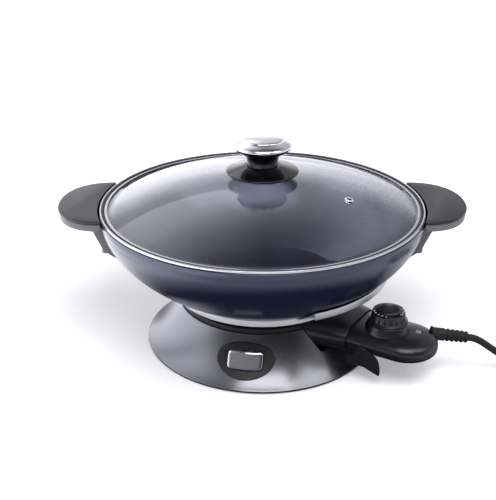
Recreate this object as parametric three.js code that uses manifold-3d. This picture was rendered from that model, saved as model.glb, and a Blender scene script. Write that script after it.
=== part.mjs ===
// An electric wok: a domed glass lid on a die-cast bowl with two side grips, a flared base that the bowl
// lifts off, and a plug-in temperature probe with a dial, a release lever and its mains cord.
// Millimetres, +Z up. The origin is on the table, below the bowl's axis. The front is -Y, the grips lie on X.
import * as THREE from "three";
import { mergeVertices } from "three/addons/utils/BufferGeometryUtils.js";
import Module from "manifold-3d";

const wasm = await Module();
wasm.setup();

// Fits shared by every piece
const seatGap = 0.3;
const runningGap = 1.2;
const cutOverrun = 4;
const weldDistance = 1e-3;
const roundSegments = 40;
const hiddenSegments = 28;
const knobSegments = 28;
const smallSegments = 14;
const tinySegments = 10;

// Base
const footStand = 1.2;
const footRadius = 9;
const footInset = 21;
const footStemRadius = 3.4;
const footStemHeight = 5;
const skirtFlare = 36.5;
const skirtLand = 0.9;
const skirtHeight = 46.8;
const skirtLip = 1.8;
const skirtWall = 2.2;
const skirtSagShare = 0.45;
const skirtSteps = 5;
const plateThickness = 2.2;
const plateInset = 5.6;
const cradleFit = 1.5;
const cradleWall = 2.6;
const cradleFloorThickness = 3;
const cradleFloorHeight = 18.8;
const collarWidth = 4.1;
const collarHeight = 4.7;
const collarBevel = 0.8;
const postRadius = 6;
const postInset = 23.5;
const postTurnDegrees = 45;
const neckReveal = 7.5;

// Latch that holds the bowl down, worked by the button in the base's front
const latchHeadingDegrees = -99.8;
const latchTravel = 4;
const badgeWidth = 60.6;
const badgeHeight = 36.4;
const badgeThickness = 1.2;
const badgeRiseShare = 0.62;
const badgeEdgeStep = 4;
const badgeAcrossSteps = 3;
const buttonWidth = 36;
const buttonHeight = 15;
const buttonCorner = 3.8;
const buttonProud = 2.2;
const buttonBackGap = 5.4;
const buttonClearance = 0.5;
const lugInset = 11;
const lugStem = 2.6;
const lugReach = 8;
const lugWidth = 18;
const lugDrop = 12.3;
const lugFootThickness = 2.2;
const latchThickness = 2.5;
const latchWidth = 28;
const latchReach = 33;
const latchTabDepth = 2.5;
const latchTabDrop = 7;
const latchHornReach = 6;
const railThickness = 2;
const railLength = 20;
const railInset = 1;
const springLength = 19;
const springRadius = 4.6;
const springWire = 0.55;
const springTurns = 5;
const springPostDepth = 3;
const springPostWidth = 16;

// Bowl
const bowlSeatReach = 3.93;
const trimReach = 9.07;
const trimHeight = 7;
const trimThickness = 1.4;
const trimLedge = 1;
const bowlSeatDepth = 2.8;
const bowlDepth = 92.6;
const bowlBandRadius = 171.4;
const bowlBandHeight = 6.3;
const bowlBandStep = 0.8;
const bowlWall = 4.2;
const bowlFloor = 5;
const bowlLipBevel = 0.8;
const bowlSeatBandHeight = 15.5;
const bowlSeatBandStep = 1.1;
const curveStartDrop = 15.4;
const curveOutPower = 1.6;
const curveUpPower = 1.11;
const curveSteps = 8;
const curveEndDegrees = 86;
const hubRadius = 9;
const hubDrop = 19;

// Housing under the bowl
const housingRadius = 84;
const housingWall = 2;
const housingFloor = 2;
const housingFlangeReach = 6;
const housingFlange = 1.2;
const housingRecessRadius = 13;
const housingRecessHeight = 7;
const boltHeadRadius = 6;
const boltHeadHeight = 3.4;
const boltRadius = 3;
const boltGrip = 14;
const elementInset = 22;
const elementTube = 2.9;
const elementRelief = 0.5;
const elementBend = 9;
const elementArcSteps = 18;
const elementLegShares = [[0.4, 0.3], [0.7, 0.8]];
const shieldReach = 41;
const shieldThickness = 1.3;
const shieldGap = 1.6;
const shieldHem = 8.1;
const shieldHalfDegrees = 38;

// Grips
const gripHalfWidth = 58;
const gripDepth = 43.6;
const gripRoot = 6.4;
const gripPower = 2.2;
const gripTopThickness = 3;
const gripBodyThickness = 8;
const gripBodyInset = 0.9;
const gripRise = 0.2;
const gripBowlGap = 1.4;
const gripOutlineSteps = 18;
const bracketHalfWidth = 30;
const bracketTopReach = 13.3;
const bracketDepth = 42;
const bracketBowlGap = 0.4;
// The bracket's underside, from its toe outwards: how many boss radii beyond the boss, and share of its depth
const bracketUnderShares = [[0.5, 0.8], [1.6, 0.5]];
const bracketTipShares = [1.4, 0.24];
const bossRadius = 5;
const bossBowlGap = 0.1;
const bossCentreY = 24;
const bossLength = 20;
const bossBottomDrop = 45.1;
const gripScrewRadius = 1.9;
const gripScrewHeadRadius = 3.6;
const gripScrewHeadHeight = 2.2;
const gripScrewBite = 3;

// Lid
const lidInset = 0.8;
const lidBandHeight = 2.4;
const lidBandWidth = 7.6;
const lidBandSheet = 1;
const lidBeadWidth = 2.4;
const lidBeadRise = 1.1;
const lidBandBevel = 0.8;
const lidLipReach = 5.5;
const lidLipDrop = 13;
const lidLipThickness = 1.2;
const lidShelfWidth = 2.5;
const glassThickness = 3.3;
const glassRise = 30.6;
const glassFlat = 3;
const glassSteps = 6;
const ventX = 87;
const ventY = -42;
const ventRadius = 2.4;
const eyeletRadius = 4.6;
const eyeletWall = 0.7;
const eyeletProud = 1;
const knobSkirtRadius = 38.1;
const knobSkirtFoot = 24;
const knobSkirtEdge = 2.6;
const knobSkirtLift = 4;
const knobSkirtRise = 5.8;
const knobStemRadius = 16.4;
const knobStemHeight = 19;
const knobFlareRadius = 30.4;
const knobCapRadius = 31.2;
const knobCapHeight = 11;
const knobDomeRadius = 22.3;
// Profiles as shares of the stem's or cap's own radius and height
const knobStemShares = [[1, 0.3], [1.05, 0.46], [1.22, 0.62], [1.55, 0.8]];
const knobCapShares = [[0.97, 0], [1, 0.12], [0.98, 0.27], [0.9, 0.44]];
const knobDomeShares = [[1.06, 0.6], [1, 0.64], [0.96, 0.76], [0.8, 0.88], [0.45, 0.97]];
const knobScrewRadius = 2.4;
const knobScrewHeadRadius = 6;
const knobScrewHeadHeight = 3;
const knobWasherRadius = 11;
const knobWasherThickness = 1.6;
const knobScrewBite = 14;

// Probe, in its own directions: x runs out from the bowl's axis, y across, z up
const probeHeadingDegrees = -31;
const shroudReach = 35;
const shroudHalfWidth = 35.5;
const shroudFlare = 13.3;
const shroudFlareRise = 7.5;
const shroudMidZ = 36.8;
const shroudCrown = 15.4;
const shroudBelly = 11.4;
const shroudWall = 1.8;
const probeGap = 0.6;
const probeNoseGap = 6;
const probeLength = 114;
const probeWall = 2.2;
const probeEdgeDegrees = 84;
const sectionPower = 3;
const sectionSteps = 5;
const probeEndSteps = 10;
const probeSplitRise = 1.2;
const pinRise = 4.2;
const pinSpacing = 28;
const pinReach = 20;
const bushRadius = 5;
const bushCollar = 7;
const bushFlange = 2.2;
const bushProud = 1.5;
const bushFit = 0.6;
const sleeveWall = 1.2;
const sleeveLength = 20;
const sensorRadius = 3;
const sensorBite = 10;
const sensorTail = 24;
const sensorBossWidth = 18;
const sensorBossLength = 22;
const sensorBossInset = 6;
const sensorBossBelow = 8;
const thermostatLength = 24;
const thermostatWidth = 30;
const thermostatHeight = 13;
const lensReach = 30.5;
const lensAcross = 8;
const lensRadius = 3.6;
const lensHeight = 5.4;
const lensProud = 1.6;

// Dial
const dialReach = 31.5;
const pedestalRadius = 24;
const pedestalTopRadius = 20.6;
const pedestalRise = 7.6;
const dialRadius = 20.2;
const dialTopRadius = 16.9;
const dialHeight = 10.6;
const dialSkirtHeight = 1.6;
const dialFlutes = 18;
const dialFluteRadius = 1.3;
const scaleOuterRadius = 16.4;
const scaleInnerRadius = 13.4;
const scaleThickness = 0.8;
const crownRadius = 13;
const crownHeight = 4.2;
// The crown's dome as shares of its radius and height
const crownShares = [[1, 0.5], [0.86, 0.8], [0.5, 0.97]];
const dialShaftRadius = 3;
const dialShaftLength = 25;

// Release lever: a cheek on each side of the probe, joined under it by a bar
const leverPivotReach = 7;
const leverPivotDrop = 4.6;
const leverLength = 32.4;
const leverTipDrop = 11;
const leverRise = 17.6;
const leverCheekThickness = 2.6;
const leverHubRadius = 4.2;
const leverBarBack = 3;
const leverBarReach = 6;
const leverBarDrop = 3.7;
const leverBarThickness = 2;
// The cheek's outline round its tip, as shares of its length and of its rise above the pivot
const leverEdgeShares = [[1, -0.36], [0.99, -0.12], [0.95, 0.18], [0.9, 0.36], [0.83, 0.52], [0.3, 1], [0.19, 0.8]];
const leverRootShares = [0.5, 0.45];
const leverPinRadius = 1.4;
const leverPinHole = 1.55;
const leverPinBite = 1.6;
const earThickness = 2.4;
const earRadius = 3;

// The ribbed strain relief runs level in plan along +X, and drops a little, from the probe's round end
const strainAlong = 18.9;
const strainAcross = 21.9;
const strainRise = 6.6;
const strainReach = 37.8;
const strainDrop = 4.8;
const strainRootRadius = 6.6;
const strainTipRadius = 6;
const strainRib = 1;
const strainRibs = 5;
const strainRibStartShare = 0.36;
const strainRibShares = [0.3, 0.6];
const strainBore = 1;
const strainCollar = 7.4;

// Mains cord. The free stretches are points chosen by hand, and the coil is a formula. Their X and Y are
// measured from the strain relief's tip, and Z from the table.
const cordRadius = 3.75;
const cordSides = 8;
const coilSides = 6;
const coilStepsPerTurn = 24;
const coilCentre = [126.2, 59];
const coilOuterRadius = 48;
const coilPitch = 9.2;
const coilTurnsIn = 2;
const coilTurnsClimbing = 0.5;
const coilTurnsOut = 1.75;
const coilFloorClearance = 0.2;
const leadPoints = [
  [0.3, 0, 38.56],
  [7.7, 0, 37],
  [15.2, -0.2, 33.4],
  [24.2, -0.5, 27.2],
  [34.2, -0.6, 20],
  [45.2, -0.2, 13.2],
  [57.2, 1.1, 7.7],
  [69.2, 3.2, 4.7],
  [81.2, 5.6, 3.95],
  [93.2, 7.9, 3.95],
  [104.2, 9.6, 3.95],
  [115.2, 10.7, 3.95],
  [125.9, 11, 3.95],
];
const tailPoints = [
  [171.9, 59.3, 13.15],
  [171.9, 63, 13.15],
  [171.9, 66.8, 13.15],
  [171.9, 76, 12],
  [171.6, 85, 9.4],
  [170.2, 95, 6.4],
  [166.8, 105, 4.6],
  [160.6, 114.4, 4.6],
  [152.6, 121.6, 6.4],
  [144.8, 126.4, 9.4],
  [137.8, 128.8, 12],
  [134, 129, 12.5],
  [130.2, 129, 12.5],
  [126.5, 129, 12.5],
];
const leadSteps = 24;
const tailSteps = 18;
const plugStart = [126.2, 129, 12.5];
const plugLength = 31;
const plugWidth = 27;
const plugHeight = 24;
const plugTaper = 9;
const plugNeckRadius = 5.6;
const bladeLength = 17;
const bladeWidth = 6.3;
const bladeThickness = 1.6;
const bladeSpread = 7.9;
const bladeTiltDegrees = 30;
const earthBladeDrop = 6.2;
const liveBladeRise = 3.6;

// Radii and reaches worked out from the pieces that they fit, outwards from the housing
const cradleInnerRadius = housingRadius + cradleFit;
const collarOuterRadius = cradleInnerRadius + collarWidth;
const skirtTopRadius = collarOuterRadius + skirtLand;
const skirtRadius = skirtTopRadius + skirtFlare;
const footCircleRadius = skirtRadius - footInset;
const postCircleRadius = cradleInnerRadius - postInset;
const buttonInnerRadius = cradleInnerRadius + cradleWall + buttonBackGap;
const lugOuterRadius = housingRadius - lugInset;
const latchInnerRadius = lugOuterRadius - latchReach;
const railInnerRadius = latchInnerRadius + railInset;
const bowlSeatRadius = housingRadius + bowlSeatReach;
const trimRadius = bowlSeatRadius + trimReach;
const elementRadius = housingRadius - elementInset;
const lidBandRadius = bowlBandRadius - lidInset;
const gripCentre = bowlBandRadius - gripRoot;
const overallWidth = 2 * (bowlBandRadius + gripDepth);
const probeNose = housingRadius + probeNoseGap;
const probeEnd = probeNose + probeLength;
const shroudMouth = housingRadius + shroudReach;
const shroudStart = housingRadius - shroudHalfWidth / 2;
const pinEnd = housingRadius + pinReach;
const sensorBossOuter = elementRadius - sensorBossInset;
const sensorBossInner = sensorBossOuter - sensorBossLength;
const sensorTip = sensorBossOuter - sensorBite;
const sensorEnd = probeNose + sensorTail;
const dialAlong = shroudMouth + dialReach;
const lensAlong = dialAlong + lensReach;
const leverPivotAlong = shroudMouth + leverPivotReach;

// Heights worked out from the stack
const plateBottomZ = footStand;
const plateTopZ = plateBottomZ + plateThickness;
const skirtTopZ = plateBottomZ + skirtHeight;
const cradleFloorZ = plateBottomZ + cradleFloorHeight;
const cradleFloorTopZ = cradleFloorZ + cradleFloorThickness;
const collarTopZ = skirtTopZ + seatGap + collarHeight;
const trimBottomZ = collarTopZ + neckReveal;
const trimTopZ = trimBottomZ + trimHeight;
const bowlBottomZ = trimBottomZ + bowlSeatDepth;
const bowlRimZ = bowlBottomZ + bowlDepth;
const bandBottomZ = bowlRimZ - bowlBandHeight;
const housingBottomZ = cradleFloorTopZ + seatGap;
const housingTopZ = bowlBottomZ - seatGap;
const lidBandBottomZ = bowlRimZ + seatGap;
const lidBandTopZ = lidBandBottomZ + lidBandHeight;
const gripTopZ = lidBandTopZ + gripRise;
const gripSplitZ = gripTopZ - gripTopThickness;
const gripBottomZ = gripSplitZ - seatGap - gripBodyThickness;
const shroudBottomZ = shroudMidZ - shroudBelly;
const probeHalfWidth = shroudHalfWidth - shroudWall - probeGap;
const probeCrown = shroudCrown - shroudWall - probeGap;
const probeBelly = shroudBelly - shroudWall - probeGap;
const probeBottomZ = shroudMidZ - probeBelly;
const probeSplitZ = shroudMidZ + probeSplitRise;
const pinZ = shroudMidZ + pinRise;
const pedestalTopZ = shroudMidZ + probeCrown + pedestalRise;
const probeEndCentre = probeEnd - probeHalfWidth;
const lidFlangeTopZ = lidBandTopZ - lidBeadRise;
const glassTopZ = lidFlangeTopZ - lidBandSheet - seatGap;
const glassApexZ = glassTopZ + glassRise;
const knobBaseZ = glassApexZ + seatGap;

// Materials
const black = (roughness, colour = 0x17171a) =>
  new THREE.MeshStandardMaterial({ color: colour, roughness, metalness: 0 });
const metal = (colour, roughness) =>
  new THREE.MeshStandardMaterial({ color: colour, roughness, metalness: 1 });
const coatedAluminium = new THREE.MeshStandardMaterial({ color: 0x2b2f4c, roughness: 0.35, metalness: 0.6 });
const satinBase = new THREE.MeshStandardMaterial({ color: 0x6e6e72, roughness: 0.4, metalness: 0.7 });
const steel = metal(0xc9cacd, 0.25);
const chrome = metal(0xe4e5e8, 0.08);
const brass = metal(0xc9a456, 0.35);
const darkPlastic = black(0.45);
const glossPlastic = black(0.15, 0x101014);
const innerPlastic = black(0.6, 0x242427);
const rubber = black(0.85, 0x0d0d0e);
const ceramic = new THREE.MeshStandardMaterial({ color: 0xe6e1d6, roughness: 0.6, metalness: 0 });
const glass = new THREE.MeshStandardMaterial({
  color: 0xdfe4ee,
  roughness: 0.05,
  metalness: 0,
  transparent: true,
  opacity: 0.35,
});
const clearLens = new THREE.MeshStandardMaterial({ color: 0xd8dadd, roughness: 0.1, metalness: 0 });

// Geometry helpers
function toSolid(geometry) {
  const source = geometry.index ? geometry.toNonIndexed() : geometry;
  const bare = new THREE.BufferGeometry();
  bare.setAttribute("position", source.getAttribute("position"));
  const merged = mergeVertices(bare, weldDistance);
  const vertProperties = merged.getAttribute("position").array;
  const triVerts = new Uint32Array(merged.index.array);
  return new wasm.Manifold(new wasm.Mesh({ numProp: 3, vertProperties, triVerts }));
}

function toGeometry(solid) {
  const mesh = solid.getMesh();
  const geometry = new THREE.BufferGeometry();
  geometry.setAttribute("position", new THREE.BufferAttribute(mesh.vertProperties, 3));
  geometry.setIndex(new THREE.BufferAttribute(mesh.triVerts, 1));
  geometry.computeVertexNormals();
  return geometry;
}

function carve(body, ...tools) {
  return toGeometry(tools.reduce((solid, tool) => solid.subtract(toSolid(tool)), toSolid(body)));
}

function fuse(body, ...others) {
  return toGeometry(others.reduce((solid, other) => solid.add(toSolid(other)), toSolid(body)));
}

function common(body, ...others) {
  return toGeometry(others.reduce((solid, other) => solid.intersect(toSolid(other)), toSolid(body)));
}

// A profile of [radius, height] pairs turned about the Z axis. The outside runs upwards.
function turned(profile, segments = roundSegments) {
  const points = profile.map(([radius, height]) => new THREE.Vector2(radius, height));
  return new THREE.LatheGeometry(points, segments).rotateX(Math.PI / 2);
}

function ring(profile, segments = roundSegments) {
  return turned([...profile, profile[0]], segments);
}

function disc(radius, bottom, top, segments = smallSegments) {
  return turned([[0, bottom], [radius, bottom], [radius, top], [0, top]], segments);
}

function pipe(inner, outer, bottom, top, segments = smallSegments) {
  return ring([[inner, bottom], [outer, bottom], [outer, top], [inner, top]], segments);
}

function prism(outline, bottom, top) {
  const shape = new THREE.Shape(outline.map(([x, y]) => new THREE.Vector2(x, y)));
  const geometry = new THREE.ExtrudeGeometry(shape, { depth: top - bottom, bevelEnabled: false });
  return geometry.translate(0, 0, bottom);
}

function block(lowX, highX, lowY, highY, lowZ, highZ) {
  const geometry = new THREE.BoxGeometry(highX - lowX, highY - lowY, highZ - lowZ);
  return geometry.translate((lowX + highX) / 2, (lowY + highY) / 2, (lowZ + highZ) / 2);
}

function roundedOutline(width, height, corner, steps = 3) {
  const outline = [];
  const corners = [[1, 1], [-1, 1], [-1, -1], [1, -1]];
  corners.forEach(([alongX, alongY], quarter) => {
    for (let step = 0; step <= steps; step++) {
      const angle = (quarter + step / steps) * Math.PI / 2;
      outline.push([
        alongX * (width / 2 - corner) + corner * Math.cos(angle),
        alongY * (height / 2 - corner) + corner * Math.sin(angle),
      ]);
    }
  });
  return outline;
}

// A closed outline with points added, so that no edge is longer than a step.
function subdivided(outline, longest) {
  return outline.flatMap(([startX, startY], index) => {
    const [endX, endY] = outline[(index + 1) % outline.length];
    const count = Math.ceil(Math.hypot(endX - startX, endY - startY) / longest);
    return Array.from({ length: count }, (_, step) => [
      startX + (endX - startX) * step / count,
      startY + (endY - startY) * step / count,
    ]);
  });
}

// A cylinder or pipe laid along X from one place to another.
function laid(geometry, startX, y, z) {
  return geometry.rotateY(Math.PI / 2).translate(startX, y, z);
}

function headed(geometry, degrees) {
  return geometry.clone().rotateZ(THREE.MathUtils.degToRad(degrees));
}

// An open profile moved sideways by a distance, to its right as it runs.
function offsetProfile(profile, distance) {
  return profile.map(([radius, height], index) => {
    const [beforeR, beforeZ] = profile[Math.max(index - 1, 0)];
    const [afterR, afterZ] = profile[Math.min(index + 1, profile.length - 1)];
    const length = Math.hypot(afterR - beforeR, afterZ - beforeZ);
    return [
      radius + distance * (afterZ - beforeZ) / length,
      height - distance * (afterR - beforeR) / length,
    ];
  });
}

// The radius at which a profile that runs upwards passes a height.
function radiusAt(profile, height) {
  const above = profile.findIndex(([, z]) => z > height);
  const [lowR, lowZ] = profile[above - 1];
  const [highR, highZ] = profile[above];
  return lowR + (highR - lowR) * (height - lowZ) / (highZ - lowZ);
}

function tubeAlong(path, radius, sides, steps) {
  const outline = [];
  for (let side = 0; side < sides; side++) {
    const angle = (side + 0.5) / sides * 2 * Math.PI;
    outline.push(new THREE.Vector2(radius * Math.cos(angle), radius * Math.sin(angle)));
  }
  return new THREE.ExtrudeGeometry(new THREE.Shape(outline), { steps, extrudePath: path });
}

// Closed rings of the same count of points, one above the other, joined into a solid with flat ends.
function lofted(rings) {
  const count = rings[0].length;
  const positions = rings.flat(2);
  const indices = [];
  rings.slice(1).forEach((_, level) => {
    for (let i = 0; i < count; i++) {
      const a = level * count + i;
      const b = level * count + (i + 1) % count;
      indices.push(a, b, b + count, a, b + count, a + count);
    }
  });
  const top = (rings.length - 1) * count;
  for (let i = 1; i < count - 1; i++) {
    indices.push(0, i + 1, i);
    indices.push(top, top + i, top + i + 1);
  }
  const geometry = new THREE.BufferGeometry();
  geometry.setAttribute("position", new THREE.Float32BufferAttribute(positions, 3));
  geometry.setIndex(indices);
  geometry.computeVertexNormals();
  return geometry;
}

// Closed rings of the same count of points, each joined to the next and the last to the first.
function looped(rings) {
  const count = rings[0].length;
  const indices = [];
  rings.forEach((_, level) => {
    const next = (level + 1) % rings.length;
    for (let i = 0; i < count; i++) {
      const j = (i + 1) % count;
      const [a, b] = [level * count + i, level * count + j];
      const [c, d] = [next * count + j, next * count + i];
      indices.push(a, b, c, a, c, d);
    }
  });
  const geometry = new THREE.BufferGeometry();
  geometry.setAttribute("position", new THREE.Float32BufferAttribute(rings.flat(2), 3));
  geometry.setIndex(indices);
  geometry.computeVertexNormals();
  return geometry;
}

const root = new THREE.Group();
const probeSide = new THREE.Group();
probeSide.rotation.z = THREE.MathUtils.degToRad(probeHeadingDegrees);
root.add(probeSide);
const latchSide = new THREE.Group();
latchSide.rotation.z = THREE.MathUtils.degToRad(latchHeadingDegrees);
root.add(latchSide);

function piece(name, geometry, material, parent = root) {
  const mesh = new THREE.Mesh(geometry, material);
  mesh.name = name;
  parent.add(mesh);
}

// The tunnel section of the shroud and the probe: an arch above the middle, a shallower belly below.
function archOutline(halfWidth, crown, belly, inset = 0) {
  const outline = [];
  for (let step = 0; step < 4 * sectionSteps; step++) {
    const angle = step / (4 * sectionSteps) * 2 * Math.PI;
    const cosine = Math.cos(angle);
    const sine = Math.sin(angle);
    const height = sine > 0 ? crown : belly;
    outline.push([
      Math.sign(cosine) * (halfWidth - inset) * Math.abs(cosine) ** (2 / sectionPower),
      shroudMidZ + Math.sign(sine) * (height - inset) * Math.abs(sine) ** (2 / sectionPower),
    ]);
  }
  return outline;
}

// Base
function skirtPoint(share) {
  const sag = skirtSagShare * share * (1 - share);
  return [
    skirtRadius + (skirtTopRadius - skirtRadius) * share,
    plateBottomZ + skirtLip + (skirtHeight - skirtLip) * (share - sag),
  ];
}

const skirtCurve = [];
for (let step = 0; step <= skirtSteps; step++) {
  skirtCurve.push(skirtPoint(step / skirtSteps));
}

function skirtShape(growth) {
  const surface = offsetProfile([[skirtRadius, plateBottomZ], ...skirtCurve], growth);
  return turned([[0, plateBottomZ], ...surface, [0, surface[surface.length - 1][1]]]);
}

// How much wider the shroud is at a distance from the bowl's axis than at its mouth.
function shroudFlareAt(along) {
  return shroudFlare * (shroudMouth - along) / (shroudMouth - shroudStart);
}

function shroudNotch(gap) {
  const near = housingRadius / 2;
  const half = shroudHalfWidth + gap;
  const nearHalf = half + shroudFlareAt(near);
  const outline = [
    [near, -nearHalf], [shroudMouth, -half], [skirtRadius, -half],
    [skirtRadius, half], [shroudMouth, half], [near, nearHalf],
  ];
  return headed(prism(outline, shroudBottomZ - gap / 2, bowlBottomZ), probeHeadingDegrees);
}

const [badgeRadius, badgeZ] = skirtPoint(badgeRiseShare);
const [badgeUpperRadius, badgeUpperZ] = skirtPoint(1);
const badgeSlope = Math.atan2(badgeUpperZ - badgeZ, badgeRadius - badgeUpperRadius);

// The button's bore, run level and radially so that the button slides straight in.
function buttonBar(growth, innerRadius, outerRadius) {
  const outline = roundedOutline(buttonWidth + 2 * growth, buttonHeight + 2 * growth, buttonCorner + growth);
  return prism(outline, innerRadius, outerRadius)
    .rotateZ(Math.PI / 2)
    .rotateY(Math.PI / 2)
    .translate(0, 0, badgeZ);
}

function baseSkirt() {
  const outer = [[skirtRadius, plateBottomZ], ...skirtCurve];
  const inner = offsetProfile(outer, -skirtWall);
  const holeRadius = cradleInnerRadius + cradleWall + seatGap;
  const lipBottomZ = skirtTopZ - skirtWall;
  const innerBelowLip = inner.filter(([, height]) => height < lipBottomZ && height > plateBottomZ);
  const shell = ring([
    ...outer,
    [holeRadius, skirtTopZ],
    [holeRadius, lipBottomZ],
    [radiusAt(inner, lipBottomZ), lipBottomZ],
    ...innerBelowLip.reverse(),
    [skirtRadius - skirtWall, plateBottomZ],
  ]);
  const window = buttonBar(buttonClearance, buttonInnerRadius - cutOverrun, skirtRadius);
  return carve(shell, shroudNotch(runningGap), headed(window, latchHeadingDegrees));
}

// A point of the skirt's face, at a height and a distance across, moved outwards by a gap.
function skirtFace(across, height, gap) {
  const radius = radiusAt(skirtCurve, height) + gap / Math.sin(badgeSlope);
  return [Math.sqrt(radius ** 2 - across ** 2), across, height];
}

// An oval plate that follows the skirt's face, with the button's hole in it.
function badgePlate() {
  const holeWidth = buttonWidth + 2 * buttonClearance;
  const holeHeight = buttonHeight + 2 * buttonClearance;
  const outline = roundedOutline(holeWidth, holeHeight, buttonCorner + buttonClearance);
  const hole = subdivided(outline, badgeEdgeStep);
  const oval = hole.map(([x, z]) => {
    const angle = Math.atan2(z / holeHeight, x / holeWidth);
    return [badgeWidth / 2 * Math.cos(angle), badgeHeight / 2 * Math.sin(badgeSlope) * Math.sin(angle)];
  });
  const layer = (share, gap) => hole.map(([x, z], index) => {
    const across = x + (oval[index][0] - x) * share;
    const height = badgeZ + z + (oval[index][1] - z) * share;
    return skirtFace(across, height, gap);
  });
  const rings = [];
  for (let step = 0; step <= badgeAcrossSteps; step++) {
    rings.push(layer(step / badgeAcrossSteps, seatGap));
  }
  for (let step = badgeAcrossSteps; step >= 0; step--) {
    rings.push(layer(step / badgeAcrossSteps, seatGap + badgeThickness));
  }
  return looped(rings);
}

function releaseButton() {
  const bar = buttonBar(0, buttonInnerRadius, skirtRadius);
  const skin = headed(skirtShape(buttonProud), -latchHeadingDegrees);
  return common(bar, skin);
}

const latchBottomZ = plateBottomZ + lugDrop - plateThickness + lugFootThickness + seatGap;
const latchTopZ = latchBottomZ + latchThickness;
const lugInnerRadius = lugOuterRadius - lugStem - lugReach;

function latchBar() {
  const hornZ = badgeZ - buttonHeight / 2 - seatGap;
  const hornOuter = buttonInnerRadius + latchHornReach;
  const windowInner = lugInnerRadius - runningGap / 2;
  const windowOuter = lugOuterRadius + latchTravel + runningGap;
  const windowHalf = lugWidth / 2 + runningGap;
  const bar = block(latchInnerRadius, hornOuter, -latchWidth / 2, latchWidth / 2, latchBottomZ, latchTopZ);
  const horn = block(buttonInnerRadius, hornOuter, -latchWidth / 4, latchWidth / 4, latchBottomZ, hornZ);
  const tab = block(
    latchInnerRadius, latchInnerRadius + latchTabDepth,
    -latchWidth / 4, latchWidth / 4,
    latchBottomZ - latchTabDrop, latchTopZ,
  );
  const window = block(
    windowInner, windowOuter,
    -windowHalf, windowHalf,
    latchBottomZ - cutOverrun, latchTopZ + cutOverrun,
  );
  return carve(fuse(bar, horn, tab), window);
}

const springStart = latchInnerRadius - seatGap - springLength;
const springZ = latchBottomZ - latchTabDrop / 2;

class Helix extends THREE.Curve {
  getPoint(share) {
    const angle = share * springTurns * 2 * Math.PI;
    return new THREE.Vector3(
      springStart + springWire + share * (springLength - 2 * springWire),
      springRadius * Math.cos(angle),
      springZ + springRadius * Math.sin(angle),
    );
  }
}

function basePlate() {
  const edge = skirtRadius - plateInset;
  const pieces = [disc(edge, plateBottomZ, plateTopZ, hiddenSegments)];
  for (let quarter = 0; quarter < 4; quarter++) {
    const heading = latchHeadingDegrees + postTurnDegrees + 90 * quarter;
    const post = disc(postRadius, plateBottomZ, cradleFloorZ - seatGap, tinySegments);
    pieces.push(headed(post.translate(postCircleRadius, 0, 0), heading));
  }
  const railOffset = latchWidth / 2 + seatGap;
  for (const side of [-1, 1]) {
    const near = side * railOffset;
    const far = side * (railOffset + railThickness);
    const rail = block(
      railInnerRadius, railInnerRadius + railLength,
      Math.min(near, far), Math.max(near, far),
      plateBottomZ, latchTopZ,
    );
    pieces.push(headed(rail, latchHeadingDegrees));
  }
  const sill = block(
    railInnerRadius + latchTabDepth + latchTravel + runningGap, railInnerRadius + railLength - latchTravel,
    -latchWidth / 2, latchWidth / 2,
    plateBottomZ, latchBottomZ - seatGap,
  );
  pieces.push(headed(sill, latchHeadingDegrees));
  const springPost = block(
    springStart - seatGap - springPostDepth, springStart - seatGap,
    -springPostWidth / 2, springPostWidth / 2,
    plateBottomZ, latchTopZ,
  );
  pieces.push(headed(springPost, latchHeadingDegrees));
  const holes = [];
  for (let quarter = 0; quarter < 4; quarter++) {
    const hole = disc(footStemRadius + seatGap, 0, plateTopZ + cutOverrun, tinySegments);
    holes.push(hole.translate(...footPlace(quarter), 0));
  }
  return carve(fuse(...pieces), ...holes);
}

function footPlace(quarter) {
  const angle = (quarter + 0.5) * Math.PI / 2;
  return [footCircleRadius * Math.cos(angle), footCircleRadius * Math.sin(angle)];
}

function foot(quarter) {
  const shoulder = footStand - seatGap;
  const profile = [
    [0, 0],
    [footRadius, 0],
    [footRadius, shoulder],
    [footStemRadius, shoulder],
    [footStemRadius, shoulder + footStemHeight],
    [0, shoulder + footStemHeight],
  ];
  return turned(profile, smallSegments).translate(...footPlace(quarter), 0);
}

function baseCradle() {
  const wallOuter = cradleInnerRadius + cradleWall;
  const cup = turned([
    [0, cradleFloorZ],
    [wallOuter, cradleFloorZ],
    [wallOuter, skirtTopZ + seatGap],
    [collarOuterRadius, skirtTopZ + seatGap],
    [collarOuterRadius, collarTopZ - collarBevel],
    [collarOuterRadius - collarBevel, collarTopZ],
    [cradleInnerRadius, collarTopZ],
    [cradleInnerRadius, cradleFloorTopZ],
    [0, cradleFloorTopZ],
  ]);
  const slot = block(
    lugInnerRadius - runningGap, lugOuterRadius + runningGap,
    -lugWidth / 2 - runningGap, lugWidth / 2 + runningGap,
    cradleFloorZ - cutOverrun, cradleFloorTopZ + cutOverrun,
  );
  return carve(cup, shroudNotch(runningGap), headed(slot, latchHeadingDegrees));
}

piece("base_skirt", baseSkirt(), satinBase);
piece("base_plate", basePlate(), innerPlastic);
piece("base_cradle", baseCradle(), darkPlastic);
piece("badge_plate", badgePlate(), darkPlastic, latchSide);
piece("release_button", releaseButton(), chrome, latchSide);
piece("latch_bar", latchBar(), steel, latchSide);
piece("latch_spring", tubeAlong(new Helix(), springWire, 5, springTurns * 8), steel, latchSide);
for (let quarter = 0; quarter < 4; quarter++) {
  piece(`foot_${quarter + 1}`, foot(quarter), rubber);
}

// Bowl
const curveStartZ = bowlBottomZ - curveStartDrop;
const bowlShoulderRadius = bowlBandRadius - bowlBandStep;

function bowlAngleAt(height) {
  const upShare = (height - curveStartZ) / (bandBottomZ - curveStartZ);
  return Math.acos((1 - upShare) ** (1 / curveUpPower));
}

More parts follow.
